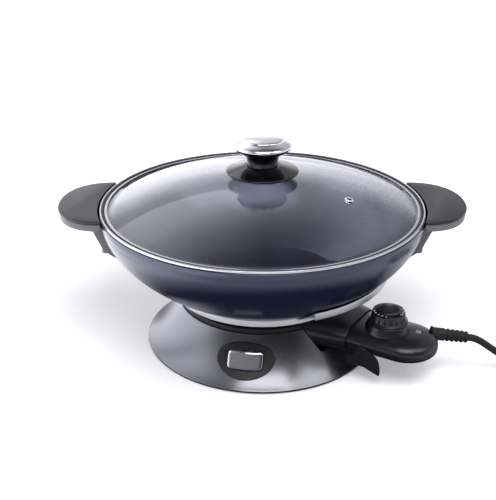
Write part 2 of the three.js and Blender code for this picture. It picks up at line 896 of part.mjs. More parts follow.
// The curve starts inside the bowl's flat bottom, where it leaves the seat radius as the bottom's edge.
const seatShare = Math.sin(bowlAngleAt(bowlBottomZ)) ** curveOutPower;
const curveStartRadius = (bowlSeatRadius - bowlShoulderRadius * seatShare) / (1 - seatShare);

function bowlPoint(angle) {
  const outShare = Math.sin(angle) ** curveOutPower;
  const upShare = 1 - Math.cos(angle) ** curveUpPower;
  return [
    curveStartRadius + (bowlShoulderRadius - curveStartRadius) * outShare,
    curveStartZ + (bandBottomZ - curveStartZ) * upShare,
  ];
}

// The bowl's outer curve from one height to its shoulder, moved outwards by a gap.
function bowlCurve(fromHeight, gap, steps = curveSteps) {
  const first = bowlAngleAt(fromHeight);
  const last = THREE.MathUtils.degToRad(curveEndDegrees);
  const points = [];
  for (let step = 0; step <= steps; step++) {
    points.push(bowlPoint(first + (last - first) * step / steps));
  }
  return offsetProfile([...points, [bowlShoulderRadius, bandBottomZ]], gap);
}

function bowlHeightAt(radius, gap) {
  const curve = bowlCurve(bowlBottomZ, gap, curveSteps * 2);
  const above = curve.findIndex(([outer]) => outer > radius);
  const [lowR, lowZ] = curve[above - 1];
  const [highR, highZ] = curve[above];
  return lowZ + (highZ - lowZ) * (radius - lowR) / (highR - lowR);
}

function bowlFilled(gap) {
  const curve = bowlCurve(bowlBottomZ, gap);
  return turned([
    [0, curve[0][1]],
    ...curve,
    [bowlBandRadius + gap, bandBottomZ],
    [bowlBandRadius + gap, bowlRimZ + cutOverrun],
    [0, bowlRimZ + cutOverrun],
  ]);
}

function wokBowl() {
  const seatBottomZ = bowlRimZ - bowlSeatBandHeight;
  const innerRadius = bowlBandRadius - bowlWall - bowlLipBevel / 2;
  const innerCurve = bowlCurve(bowlBottomZ, -bowlWall, curveSteps - 2)
    .filter(([, height]) => height > bowlBottomZ + bowlFloor && height < seatBottomZ - bowlSeatBandStep)
    .reverse();
  const [floorEdge] = innerCurve[innerCurve.length - 1];
  const floorTopZ = bowlBottomZ + bowlFloor;
  const shell = turned([
    [0, bowlBottomZ],
    ...bowlCurve(bowlBottomZ, 0),
    [bowlBandRadius, bandBottomZ],
    [bowlBandRadius, bowlRimZ - bowlLipBevel],
    [bowlBandRadius - bowlLipBevel, bowlRimZ],
    [innerRadius + bowlLipBevel, bowlRimZ],
    [innerRadius, bowlRimZ - bowlLipBevel],
    [innerRadius, seatBottomZ],
    [innerRadius - bowlSeatBandStep, seatBottomZ - bowlSeatBandStep],
    ...innerCurve,
    [floorEdge - bowlFloor, floorTopZ],
    [0, floorTopZ],
  ]);
  const boss = block(
    sensorBossInner, sensorBossOuter,
    -sensorBossWidth / 2, sensorBossWidth / 2,
    pinZ - sensorBossBelow, bowlBottomZ + bowlFloor / 2,
  );
  const hubBottomZ = bowlBottomZ - hubDrop;
  const boltBore = disc(boltRadius + seatGap, hubBottomZ - cutOverrun, boltTopZ + seatGap, tinySegments);
  const hub = disc(hubRadius, hubBottomZ, bowlBottomZ + bowlFloor / 2);
  const sensorBore = laid(
    disc(sensorRadius + seatGap, 0, sensorBossOuter + cutOverrun - sensorTip + seatGap, tinySegments),
    sensorTip - seatGap, 0, pinZ,
  );
  return carve(
    fuse(shell, hub, headed(boss, probeHeadingDegrees)),
    boltBore,
    headed(sensorBore, probeHeadingDegrees),
  );
}

const boltHeadTopZ = housingBottomZ + housingRecessHeight - seatGap;
const boltTopZ = bowlBottomZ - hubDrop + boltGrip;

function housingBolt() {
  return turned([
    [0, boltHeadTopZ - boltHeadHeight],
    [boltHeadRadius, boltHeadTopZ - boltHeadHeight],
    [boltHeadRadius, boltHeadTopZ],
    [boltRadius, boltHeadTopZ],
    [boltRadius, boltTopZ],
    [0, boltTopZ],
  ], tinySegments);
}

function elementHousing() {
  const recessBottomZ = housingBottomZ + housingRecessHeight;
  const flangeRadius = housingRadius + housingFlangeReach;
  const cup = ring([
    [boltRadius + seatGap, recessBottomZ],
    [housingRecessRadius - housingFloor, recessBottomZ],
    [housingRecessRadius, housingBottomZ],
    [housingRadius, housingBottomZ],
    [housingRadius, housingTopZ - housingFlange],
    [flangeRadius, housingTopZ - housingFlange],
    [flangeRadius, housingTopZ],
    [housingRadius - housingWall, housingTopZ],
    [housingRadius - housingWall, housingBottomZ + housingFloor],
    [housingRecessRadius + housingFloor, housingBottomZ + housingFloor],
    [housingRecessRadius, recessBottomZ + housingFloor],
    [boltRadius + seatGap, recessBottomZ + housingFloor],
  ], hiddenSegments);
  const lugBottomZ = latchBottomZ - seatGap - lugFootThickness;
  const stem = block(
    lugOuterRadius - lugStem, lugOuterRadius,
    -lugWidth / 2, lugWidth / 2,
    lugBottomZ, housingBottomZ + housingFloor / 2,
  );
  const toe = block(
    lugInnerRadius, lugOuterRadius,
    -lugWidth / 2, lugWidth / 2,
    lugBottomZ, lugBottomZ + lugFootThickness,
  );
  const portLength = 2 * cutOverrun + housingWall;
  const portStart = housingRadius - housingWall - cutOverrun;
  const ports = [-1, 1].map((side) => {
    const port = disc(bushRadius + bushFit, 0, portLength, tinySegments);
    return headed(laid(port, portStart, side * pinSpacing / 2, pinZ), probeHeadingDegrees);
  });
  const sensorPort = headed(
    laid(disc(sensorRadius + runningGap, 0, portLength, tinySegments), portStart, 0, pinZ),
    probeHeadingDegrees,
  );
  return carve(
    fuse(cup, headed(stem, latchHeadingDegrees), headed(toe, latchHeadingDegrees)),
    ...ports,
    sensorPort,
  );
}

// The element is one tube: a pin out of each end, then up and round under the bowl.
class ElementPath extends THREE.CatmullRomCurve3 {
  constructor() {
    const ringZ = bowlBottomZ - seatGap - elementRelief - elementTube;
    const half = pinSpacing / 2;
    const gapAngle = Math.asin((half + elementTube) / elementRadius);
    const arc = [];
    for (let step = 0; step <= elementArcSteps; step++) {
      const angle = gapAngle + (2 * Math.PI - 2 * gapAngle) * step / elementArcSteps;
      arc.push(new THREE.Vector3(elementRadius * Math.cos(angle), elementRadius * Math.sin(angle), ringZ));
    }
    const bend = elementRadius + elementBend;
    const leg = (side) => [
      new THREE.Vector3(pinEnd, side * half, pinZ),
      new THREE.Vector3((pinEnd + bend) / 2, side * half, pinZ),
      new THREE.Vector3(bend + elementTube, side * half, pinZ),
      new THREE.Vector3(bend, side * half, pinZ),
      ...elementLegShares.map(([inwards, upwards]) =>
        new THREE.Vector3(bend - elementBend * inwards, side * half, pinZ + (ringZ - pinZ) * upwards)),
      new THREE.Vector3(bend - elementBend, side * half, ringZ),
    ];
    super([...leg(1), ...arc, ...leg(-1).reverse()], false, "centripetal");
  }
}

function terminalBush(side) {
  const bore = elementTube + seatGap;
  const wallInside = housingRadius - housingWall;
  const seat = Math.sqrt(wallInside ** 2 - (pinSpacing / 2 + bushCollar) ** 2) - bushFit;
  const length = housingRadius + bushProud - seat;
  const sleeve = ring([
    [bore, -bushFlange],
    [bushCollar, -bushFlange],
    [bushCollar, 0],
    [bushRadius, 0],
    [bushRadius, length],
    [bore, length],
  ], tinySegments);
  return laid(sleeve, seat, side * pinSpacing / 2, pinZ);
}

function trimRing() {
  const inner = housingRadius + seatGap;
  const bandTopZ = Math.min(trimTopZ, bowlHeightAt(trimRadius, seatGap));
  return ring([
    [inner, trimBottomZ],
    [trimRadius, trimBottomZ],
    [trimRadius, bandTopZ],
    [trimRadius - trimThickness, bowlHeightAt(trimRadius - trimThickness, seatGap)],
    [trimRadius - trimThickness, trimBottomZ + trimLedge],
    [inner, trimBottomZ + trimLedge],
  ]);
}

// A curved leaf under the bowl, above the dial, that keeps the bowl's heat off the probe.
function heatShield() {
  const innerRadius = trimRadius + seatGap;
  const outerRadius = trimRadius + shieldReach;
  const top = [];
  for (let step = 0; step <= 6; step++) {
    const radius = innerRadius + shieldReach * step / 6;
    top.push([radius, bowlHeightAt(radius, shieldGap)]);
  }
  const lower = top.map(([radius, height]) => [radius, height - shieldThickness]);
  const hemTopZ = top[top.length - 1][1];
  const leaf = ring([
    ...lower.slice(0, -1),
    [outerRadius - shieldThickness, lower[lower.length - 2][1] + shieldThickness],
    [outerRadius - shieldThickness, hemTopZ - shieldHem],
    [outerRadius, hemTopZ - shieldHem],
    [outerRadius, hemTopZ],
    ...top.slice(0, -1).reverse(),
  ]);
  const wedge = [[0, 0]];
  const reach = 2 * outerRadius;
  for (let step = 0; step <= 8; step++) {
    const angle = THREE.MathUtils.degToRad(shieldHalfDegrees * (step / 4 - 1));
    wedge.push([reach * Math.cos(angle), reach * Math.sin(angle)]);
  }
  return common(leaf, headed(prism(wedge, 0, bowlRimZ), probeHeadingDegrees));
}

// The shroud's section swells from its mouth to its root on the housing.
function shroudForm(startX, endX, inset) {
  const section = (along) => {
    const swell = (shroudMouth - along) / (shroudMouth - shroudStart);
    const outline = archOutline(
      shroudHalfWidth + shroudFlare * swell, shroudCrown + shroudFlareRise * swell, shroudBelly, inset);
    return outline.map(([y, z]) => [along, y, z]);
  };
  return lofted([section(startX), section(endX)]);
}

function probeShroud() {
  const outer = shroudForm(shroudStart, shroudMouth, 0);
  const inner = shroudForm(shroudStart - cutOverrun, shroudMouth + cutOverrun, shroudWall);
  return carve(outer, inner, disc(housingRadius + seatGap, 0, bowlBottomZ, roundSegments));
}

piece("wok_bowl", wokBowl(), coatedAluminium);
piece("housing_bolt", housingBolt(), steel);
piece("element_housing", elementHousing(), darkPlastic);
piece("heating_element", tubeAlong(new ElementPath(), elementTube, 6, 40), steel, probeSide);
piece("terminal_bush_left", terminalBush(1), ceramic, probeSide);
piece("terminal_bush_right", terminalBush(-1), ceramic, probeSide);
piece("trim_ring", trimRing(), steel);
piece("heat_shield", heatShield(), steel);
piece("probe_shroud", probeShroud(), darkPlastic, probeSide);

// Grips
const gripReach = overallWidth / 2 - gripCentre;

function gripOutline(inset) {
  const outline = [];
  for (let step = 0; step <= gripOutlineSteps; step++) {
    const angle = -Math.PI / 2 + Math.PI * step / gripOutlineSteps;
    const cosine = Math.cos(angle);
    const sine = Math.sin(angle);
    outline.push([
      gripCentre + (gripReach - inset) * Math.abs(cosine) ** (2 / gripPower),
      Math.sign(sine) * (gripHalfWidth - inset) * Math.abs(sine) ** (2 / gripPower),
    ]);
  }
  const back = gripCentre - gripHalfWidth;
  const half = gripHalfWidth - inset;
  return [[back, half], [back, -half], ...outline];
}

function bowlClearance() {
  return disc(bowlBandRadius + gripBowlGap, 0, gripTopZ + cutOverrun, roundSegments);
}

function gripTop() {
  return carve(prism(gripOutline(0), gripSplitZ, gripTopZ), bowlClearance());
}

const bracketTopZ = gripBottomZ - seatGap;
const bossBottomZ = bowlRimZ - bossBottomDrop;
const bossTopZ = bossBottomZ + bossLength;
const gripScrewTopZ = bossTopZ - gripScrewBite;
const [bowlAtScrewRadius] = bowlPoint(bowlAngleAt(gripScrewTopZ));
const bossCentreX = Math.sqrt((bowlAtScrewRadius + bossBowlGap + gripScrewRadius) ** 2 - bossCentreY ** 2);

function screwHole(radius, bottom, top, side) {
  return disc(radius, bottom, top, tinySegments).translate(bossCentreX, side * bossCentreY, 0);
}

function gripBody() {
  const pad = prism(gripOutline(gripBodyInset), gripBottomZ, gripSplitZ - seatGap);
  return carve(pad, bowlClearance());
}

function bracket() {
  const reach = bowlBandRadius + bracketTopReach;
  const profile = [
    [reach, bracketTopZ],
    [bowlBandRadius - bracketTopReach, bracketTopZ],
    [bowlBandRadius - 2 * bracketTopReach, bracketTopZ - bracketDepth],
    [bossCentreX - 2 * bossRadius, bracketTopZ - bracketDepth],
    ...bracketUnderShares.map(([out, down]) =>
      [bossCentreX + bossRadius * out, bracketTopZ - bracketDepth * down]),
    [reach - bossRadius * bracketTipShares[0], bracketTopZ - bracketDepth * bracketTipShares[1]],
  ];
  const arm = prism(profile, -bracketHalfWidth, bracketHalfWidth).rotateX(Math.PI / 2);
  const bosses = [-1, 1].map((side) =>
    disc(bossRadius, bossBottomZ, bossTopZ, tinySegments).translate(bossCentreX, side * bossCentreY, 0));
  const headBottom = bossBottomZ - cutOverrun;
  const headTop = bossBottomZ + gripScrewHeadHeight + seatGap;
  const heads = [-1, 1].map((side) => screwHole(gripScrewHeadRadius + seatGap, headBottom, headTop, side));
  const shaftTop = gripScrewTopZ + seatGap;
  const shafts = [-1, 1].map((side) => screwHole(gripScrewRadius + seatGap, headBottom, shaftTop, side));
  return carve(fuse(arm, ...bosses), bowlFilled(bracketBowlGap), ...heads, ...shafts);
}

function gripScrew(side) {
  return turned([
    [0, bossBottomZ],
    [gripScrewHeadRadius, bossBottomZ],
    [gripScrewHeadRadius, bossBottomZ + gripScrewHeadHeight],
    [gripScrewRadius, bossBottomZ + gripScrewHeadHeight],
    [gripScrewRadius, gripScrewTopZ],
    [0, gripScrewTopZ],
  ], tinySegments).translate(bossCentreX, side * bossCentreY, 0);
}

for (const [hand, degrees] of [["right", 0], ["left", 180]]) {
  piece(`${hand}_grip_top`, headed(gripTop(), degrees), darkPlastic);
  piece(`${hand}_grip_body`, headed(gripBody(), degrees), darkPlastic);
  piece(`${hand}_grip_bracket`, headed(bracket(), degrees), innerPlastic);
  piece(`${hand}_grip_screw_1`, headed(gripScrew(-1), degrees), steel);
  piece(`${hand}_grip_screw_2`, headed(gripScrew(1), degrees), steel);
}

// Lid
function lidBand() {
  const flangeInner = lidBandRadius - lidBandWidth;
  const lipInner = lidBandRadius - lidLipReach;
  const lipOuter = lipInner + lidLipThickness;
  const lipBottomZ = lidBandBottomZ - lidLipDrop;
  const beadInner = lidBandRadius - lidBeadWidth;
  const shelfTopZ = glassTopZ - glassThickness - seatGap;
  const shelfInner = lipInner - lidShelfWidth;
  return ring([
    [lipInner, lipBottomZ],
    [lipOuter, lipBottomZ],
    [lipOuter, lidBandBottomZ],
    [lidBandRadius, lidBandBottomZ],
    [lidBandRadius, lidBandTopZ - lidBandBevel],
    [lidBandRadius - lidBandBevel, lidBandTopZ],
    [beadInner + lidBandBevel / 2, lidBandTopZ],
    [beadInner, lidFlangeTopZ],
    [flangeInner, lidFlangeTopZ],
    [flangeInner, lidFlangeTopZ - lidBandSheet],
    [lipInner, lidFlangeTopZ - lidBandSheet],
    [lipInner, shelfTopZ],
    [shelfInner, shelfTopZ],
    [shelfInner, shelfTopZ - lidBandSheet],
    [lipInner, shelfTopZ - lidBandSheet],
  ]);
}

const glassEdgeRadius = lidBandRadius - lidLipReach - seatGap;
const domeEdgeRadius = glassEdgeRadius - glassFlat;
const domeSphereRadius = (domeEdgeRadius ** 2 + glassRise ** 2) / (2 * glassRise);

function domeHeight(radius) {
  return glassApexZ - domeSphereRadius + Math.sqrt(domeSphereRadius ** 2 - radius ** 2);
}

function lidGlass() {
  const top = [];
  for (let step = 0; step <= glassSteps; step++) {
    const radius = domeEdgeRadius * (1 - step / glassSteps);
    top.push([radius, domeHeight(radius)]);
  }
  const bottom = top.map(([radius, height]) => [radius, height - glassThickness]).reverse();
  const edge = [[glassEdgeRadius, glassTopZ - glassThickness], [glassEdgeRadius, glassTopZ]];
  const dome = turned([...bottom, ...edge, ...top]);
  const low = glassTopZ - glassThickness - cutOverrun;
  const high = glassApexZ + cutOverrun;
  const vent = disc(ventRadius + eyeletWall + seatGap, low, high, smallSegments).translate(ventX, ventY, 0);
  const centre = disc(knobScrewRadius + seatGap, low, high, smallSegments);
  return carve(dome, vent, centre);
}

function ventEyelet() {
  const top = domeHeight(Math.hypot(ventX, ventY));
  const flange = eyeletProud;
  const slopeDrop = eyeletRadius * Math.hypot(ventX, ventY) / domeSphereRadius;
  const upper = top + slopeDrop + seatGap;
  const lower = top - glassThickness - slopeDrop - seatGap;
  const outer = ventRadius + eyeletWall;
  return ring([
    [ventRadius, lower - flange],
    [eyeletRadius, lower - flange],
    [eyeletRadius, lower],
    [outer, lower],
    [outer, upper],
    [eyeletRadius, upper],
    [eyeletRadius - eyeletWall, upper + flange],
    [ventRadius, upper + flange],
  ], smallSegments).translate(ventX, ventY, 0);
}

const knobSkirtTopZ = knobBaseZ + knobSkirtLift + knobSkirtEdge + knobSkirtRise;
const knobStemTopZ = knobSkirtTopZ + seatGap + knobStemHeight;
const knobCapTopZ = knobStemTopZ + seatGap + knobCapHeight;

function knobSkirt() {
  return ring([
    [knobScrewRadius + seatGap, knobBaseZ],
    [knobSkirtFoot, knobBaseZ],
    [(knobSkirtFoot + knobSkirtRadius) / 2, knobBaseZ + knobSkirtLift * 0.3],
    [knobSkirtRadius - knobSkirtEdge / 2, knobBaseZ + knobSkirtLift],
    [knobSkirtRadius, knobBaseZ + knobSkirtLift + knobSkirtEdge * 0.5],
    [knobSkirtRadius, knobBaseZ + knobSkirtLift + knobSkirtEdge],
    [knobStemRadius + knobSkirtEdge, knobSkirtTopZ],
    [knobScrewRadius + seatGap, knobSkirtTopZ],
  ], knobSegments);
}

function knobStem() {
  const bottom = knobSkirtTopZ + seatGap;
  const body = turned([
    [0, bottom],
    [knobStemRadius, bottom],
    ...knobStemShares.map(([out, up]) => [knobStemRadius * out, bottom + knobStemHeight * up]),
    [knobFlareRadius, knobStemTopZ - seatGap],
    [knobFlareRadius, knobStemTopZ],
    [0, knobStemTopZ],
  ], knobSegments);
  const boreTop = bottom + knobScrewBite + seatGap;
  return carve(body, disc(knobScrewRadius + seatGap, bottom - cutOverrun, boreTop, tinySegments));
}

function knobCap() {
  const bottom = knobStemTopZ + seatGap;
  return turned([
    [0, bottom],
    ...knobCapShares.map(([out, up]) => [knobCapRadius * out, bottom + knobCapHeight * up]),
    ...knobDomeShares.map(([out, up]) => [knobDomeRadius * out, bottom + knobCapHeight * up]),
    [0, knobCapTopZ],
  ], knobSegments);
}

const glassUnderZ = glassApexZ - glassThickness;

function knobWasher() {
  const top = glassUnderZ - seatGap - knobWasherRadius ** 2 / (2 * domeSphereRadius);
  return pipe(knobScrewRadius + seatGap, knobWasherRadius, top - knobWasherThickness, top);
}

function knobScrew() {
  const under = glassUnderZ - seatGap - knobWasherRadius ** 2 / (2 * domeSphereRadius)
    - knobWasherThickness - seatGap;
  const tip = knobSkirtTopZ + seatGap + knobScrewBite;
  return turned([
    [0, under - knobScrewHeadHeight],
    [knobScrewHeadRadius * 0.8, under - knobScrewHeadHeight],
    [knobScrewHeadRadius, under - knobScrewHeadHeight / 2],
    [knobScrewHeadRadius, under],
    [knobScrewRadius, under],
    [knobScrewRadius, tip],
    [0, tip],
  ], tinySegments);
}

piece("lid_glass", lidGlass(), glass);
piece("lid_band", lidBand(), steel);
piece("vent_eyelet", ventEyelet(), steel);
piece("knob_skirt", knobSkirt(), glossPlastic);
piece("knob_stem", knobStem(), glossPlastic);
piece("knob_cap", knobCap(), chrome);
piece("knob_washer", knobWasher(), rubber);
piece("knob_screw", knobScrew(), steel);

// Probe
function probeForm(inset) {
  const rings = [];
  const levels = 2 * sectionSteps;
  for (let level = 0; level <= levels; level++) {
    const angle = THREE.MathUtils.degToRad(probeEdgeDegrees * (2 * level / levels - 1));
    const sine = Math.sin(angle);
    const height = (sine > 0 ? probeCrown : probeBelly) - inset;
    const half = (probeHalfWidth - inset) * Math.cos(angle) ** (2 / sectionPower);
    const z = shroudMidZ + Math.sign(sine) * height * Math.abs(sine) ** (2 / sectionPower);
    const outline = [[probeNose + inset, -half, z]];
    for (let step = 0; step <= probeEndSteps; step++) {
      const end = -Math.PI / 2 + Math.PI * step / probeEndSteps;
      outline.push([probeEndCentre + half * Math.cos(end), half * Math.sin(end), z]);
    }
    outline.push([probeNose + inset, half, z]);
    rings.push(outline);
  }
  return lofted(rings);
}

const strainStart = new THREE.Vector3(probeEndCentre + strainAlong, strainAcross, shroudMidZ + strainRise)
  .applyAxisAngle(new THREE.Vector3(0, 0, 1), THREE.MathUtils.degToRad(probeHeadingDegrees));
const strainEnd = strainStart.clone().add(new THREE.Vector3(strainReach, 0, -strainDrop));

// A piece turned about Z, laid from the strain relief's root towards its tip.
function alongStrain(geometry) {
  const direction = strainEnd.clone().sub(strainStart).normalize();
  const turn = new THREE.Quaternion().setFromUnitVectors(new THREE.Vector3(0, 0, 1), direction);
  return geometry.applyQuaternion(turn).translate(...strainStart);
}

function strainRelief() {
  const length = strainEnd.distanceTo(strainStart);
  const profile = [
    [0, 0],
    [strainCollar, 0],
    [strainCollar, strainBore],
    [strainRootRadius, strainBore + strainRib],
  ];
  const ribStart = length * strainRibStartShare;
  const pitch = (length - ribStart) / strainRibs;
  for (let rib = 0; rib < strainRibs; rib++) {
    const share = rib / strainRibs;
    const radius = strainRootRadius + (strainTipRadius - strainRootRadius) * share;
    const start = ribStart + pitch * rib;
    profile.push([radius, start]);
    profile.push([radius - strainRib, start + pitch * strainRibShares[0]]);
    profile.push([radius, start + pitch * strainRibShares[1]]);
  }
  profile.push([strainTipRadius, length], [0, length]);
  return alongStrain(turned(profile, smallSegments));
}

// A round hole along the strain relief, in the probe's directions.
function strainHole(radius, from, to) {
  return headed(alongStrain(disc(radius + seatGap, from, to, smallSegments)), -probeHeadingDegrees);
}

const leverPivotZ = probeBottomZ - leverPivotDrop;
const cheekInner = probeHalfWidth + probeGap;

function probeShell(lowZ, highZ, extras, cuts) {
  const far = probeNose + probeLength + cutOverrun;
  const slab = block(probeNose - cutOverrun, far, -shroudHalfWidth, shroudHalfWidth, lowZ, highZ);
  const shell = common(carve(probeForm(0), probeForm(probeWall)), slab);
  const whole = extras.length ? fuse(shell, ...extras) : shell;
  const throat = strainHole(strainRootRadius, 0, strainEnd.distanceTo(strainStart));
  const pocket = strainHole(strainCollar, -cutOverrun, strainBore + 2 * strainRib);
  return carve(whole, ...cuts, throat, pocket);
}

function noseHoles() {
  const length = probeWall + 2 * cutOverrun;
  const start = probeNose - cutOverrun;
  const pins = [-1, 1].map((side) =>
    laid(disc(elementTube + seatGap, 0, length, tinySegments), start, side * pinSpacing / 2, pinZ));
  return [...pins, laid(disc(sensorRadius + seatGap, 0, length, tinySegments), start, 0, pinZ)];
}

function lowerShell() {
  const ears = [-1, 1].map((side) => {
    const near = side * (cheekInner - runningGap - earThickness);
    const far = side * (cheekInner - runningGap);
    const round = disc(earRadius, 0, earThickness, tinySegments)
      .rotateX(-Math.PI / 2)
      .translate(leverPivotAlong, Math.min(near, far), leverPivotZ);
    const web = block(
      leverPivotAlong - earRadius, leverPivotAlong + earRadius,
      Math.min(near, far), Math.max(near, far),
      leverPivotZ, shroudMidZ,
    );
    return fuse(round, web);
  });
  const pinBore = disc(leverPinHole, -cheekInner, cheekInner, tinySegments)
    .rotateX(-Math.PI / 2)
    .translate(leverPivotAlong, 0, leverPivotZ);
  const cradle = block(
    thermostatStart, thermostatStart + thermostatLength,
    -thermostatWidth / 4, thermostatWidth / 4,
    probeBottomZ + probeWall / 2, thermostatBottomZ - seatGap,
  );
  return probeShell(probeBottomZ - cutOverrun, probeSplitZ, [...ears, cradle], [pinBore, ...noseHoles()]);
}

function upperShell() {
  const shaftBore = disc(dialShaftRadius + seatGap, probeSplitZ, pedestalTopZ, tinySegments)
    .translate(dialAlong, 0, 0);
  const lensBore = disc(lensRadius + seatGap, probeSplitZ, pedestalTopZ, tinySegments)
    .translate(lensAlong, lensAcross, 0);
  return probeShell(
    probeSplitZ + seatGap, shroudMidZ + probeCrown + cutOverrun,
    [], [shaftBore, lensBore, ...noseHoles()],
  );
}

const thermostatStart = sensorEnd + seatGap;
const thermostatBottomZ = pinZ - thermostatHeight / 2 - probeWall;
const thermostatTopZ = thermostatBottomZ + thermostatHeight;

function dialPedestal() {
  const bottom = probeSplitZ + seatGap;
  const cone = ring([
    [dialShaftRadius + seatGap, bottom],
    [pedestalRadius, bottom],
    [pedestalRadius, shroudMidZ + probeCrown - probeWall],
    [pedestalTopRadius, pedestalTopZ],
    [dialShaftRadius + seatGap, pedestalTopZ],
  ], knobSegments).translate(dialAlong, 0, 0);
  return carve(cone, probeForm(-seatGap));
}

function dialKnob() {
  const bottom = pedestalTopZ + seatGap;
  const top = bottom + dialHeight;
  const body = ring([
    [dialShaftRadius + seatGap, bottom],
    [dialRadius, bottom],
    [dialRadius, bottom + dialSkirtHeight],
    [dialRadius * 0.9, bottom + dialSkirtHeight * 1.6],
    [dialTopRadius, top],
    [dialShaftRadius + seatGap, top],
  ], knobSegments);
  const flutes = [];
  for (let flute = 0; flute < dialFlutes; flute++) {
    const angle = flute / dialFlutes * 2 * Math.PI;
    const reach = dialRadius * 0.9 + dialFluteRadius * 0.2;
    flutes.push(
      disc(dialFluteRadius, bottom + 3 * dialSkirtHeight, top - dialSkirtHeight, 6)
        .translate(reach * Math.cos(angle), reach * Math.sin(angle), 0),
    );
  }
  return carve(body, ...flutes).translate(dialAlong, 0, 0);
}

const dialTopZ = pedestalTopZ + seatGap + dialHeight;

function dialScaleRing() {
  const bottom = dialTopZ + seatGap;
  return pipe(scaleInnerRadius, scaleOuterRadius, bottom, bottom + scaleThickness, knobSegments)
    .translate(dialAlong, 0, 0);
}

function dialCrown() {
  const bottom = dialTopZ + seatGap;
  return turned([
    [0, bottom],
    [crownRadius, bottom],
    ...crownShares.map(([out, up]) => [crownRadius * out, bottom + crownHeight * up]),
    [0, bottom + crownHeight],
  ], smallSegments).translate(dialAlong, 0, 0);
}

function dialShaft() {
  return disc(dialShaftRadius, dialTopZ - dialShaftLength, dialTopZ, tinySegments)
    .translate(dialAlong, 0, 0);
}

function sensorRod() {
  const length = sensorEnd - sensorTip;
  const rod = turned([
    [0, 0],
    [sensorRadius * 0.6, 0],
    [sensorRadius, sensorRadius * 0.5],
    [sensorRadius, length],
    [0, length],
  ], tinySegments);
  return laid(rod, sensorTip, 0, pinZ);
}

function contactSleeve(side) {
  const bore = elementTube + seatGap;
  const start = probeNose + probeWall + seatGap;
  const sleeve = pipe(bore, bore + sleeveWall, 0, sleeveLength, tinySegments);
  return laid(sleeve, start, side * pinSpacing / 2, pinZ);
}

function indicatorLens() {
  const top = shroudMidZ + probeCrown + lensProud - probeWall / 2;
  return turned([
    [0, top - lensHeight],
    [lensRadius, top - lensHeight],
    [lensRadius, top - lensProud],
    [lensRadius * 0.7, top - lensProud * 0.3],
    [0, top],
  ], smallSegments).translate(lensAlong, lensAcross, 0);
}

function leverPin() {
  const half = cheekInner + leverPinBite;
  return disc(leverPinRadius, -half, half, tinySegments)
    .rotateX(-Math.PI / 2)
    .translate(leverPivotAlong, 0, leverPivotZ);
}

// The cheek's side view runs round from the hub's left, under it, out to the tip and back over the top.
function releaseLever() {
  const [rootOut, rootDown] = leverRootShares;
  const side = [
    [-leverHubRadius, leverHubRadius / 2],
    [-leverHubRadius, -leverHubRadius / 2],
    [-leverBarBack, -leverBarDrop - leverBarThickness],
    [leverBarReach, -leverBarDrop - leverBarThickness],
    [leverLength * rootOut, -leverTipDrop * rootDown - seatGap],
    [leverLength * rootOut + leverHubRadius, -leverTipDrop * rootDown - leverHubRadius / 2],
    [leverLength, -leverTipDrop],
    ...leverEdgeShares.map(([out, up]) => [leverLength * out, leverRise * up]),
    [leverHubRadius / 2, leverHubRadius],
    [-leverHubRadius / 2, leverHubRadius],
  ].map(([out, up]) => [leverPivotAlong + out, leverPivotZ + up]);
  const cheekOuter = cheekInner + leverCheekThickness;
  const cheeks = [-1, 1].map((hand) => {
    const near = hand > 0 ? -cheekOuter : cheekInner;
    return prism(side, near, near + leverCheekThickness).rotateX(Math.PI / 2);
  });
  const bar = block(
    leverPivotAlong - leverBarBack, leverPivotAlong + leverBarReach,
    -cheekOuter + seatGap, cheekOuter - seatGap,
    leverPivotZ - leverBarDrop - leverBarThickness, leverPivotZ - leverBarDrop,
  );
  const boreHalf = cheekInner + leverPinBite + seatGap;
  const bore = disc(leverPinHole, -boreHalf, boreHalf, tinySegments)
    .rotateX(-Math.PI / 2)
    .translate(leverPivotAlong, 0, leverPivotZ);
  return carve(fuse(bar, ...cheeks), bore);
}

piece("probe_lower_shell", lowerShell(), darkPlastic, probeSide);
piece("probe_upper_shell", upperShell(), darkPlastic, probeSide);
piece("dial_pedestal", dialPedestal(), darkPlastic, probeSide);
piece("thermostat_body", block(
  thermostatStart, thermostatStart + thermostatLength,
  -thermostatWidth / 2, thermostatWidth / 2,
  thermostatBottomZ, thermostatTopZ,
), ceramic, probeSide);
piece("sensor_rod", sensorRod(), steel, probeSide);
piece("contact_sleeve_left", contactSleeve(1), brass, probeSide);
piece("contact_sleeve_right", contactSleeve(-1), brass, probeSide);
piece("indicator_lens", indicatorLens(), clearLens, probeSide);
piece("lever_pin", leverPin(), steel, probeSide);
piece("release_lever", releaseLever(), innerPlastic, probeSide);
piece("dial_knob", dialKnob(), darkPlastic, probeSide);
piece("dial_scale_ring", dialScaleRing(), glossPlastic, probeSide);
piece("dial_crown", dialCrown(), innerPlastic, probeSide);
piece("dial_shaft", dialShaft(), brass, probeSide);
piece("strain_relief", strainRelief(), rubber);

// Cord
const coilLowZ = cordRadius + coilFloorClearance;
const coilStraight = 2 * cordRadius;

function fromTip([x, y, z]) {
  return new THREE.Vector3(strainEnd.x + x, strainEnd.y + y, z);
}

const coilTurns = coilTurnsIn + coilTurnsClimbing + coilTurnsOut;

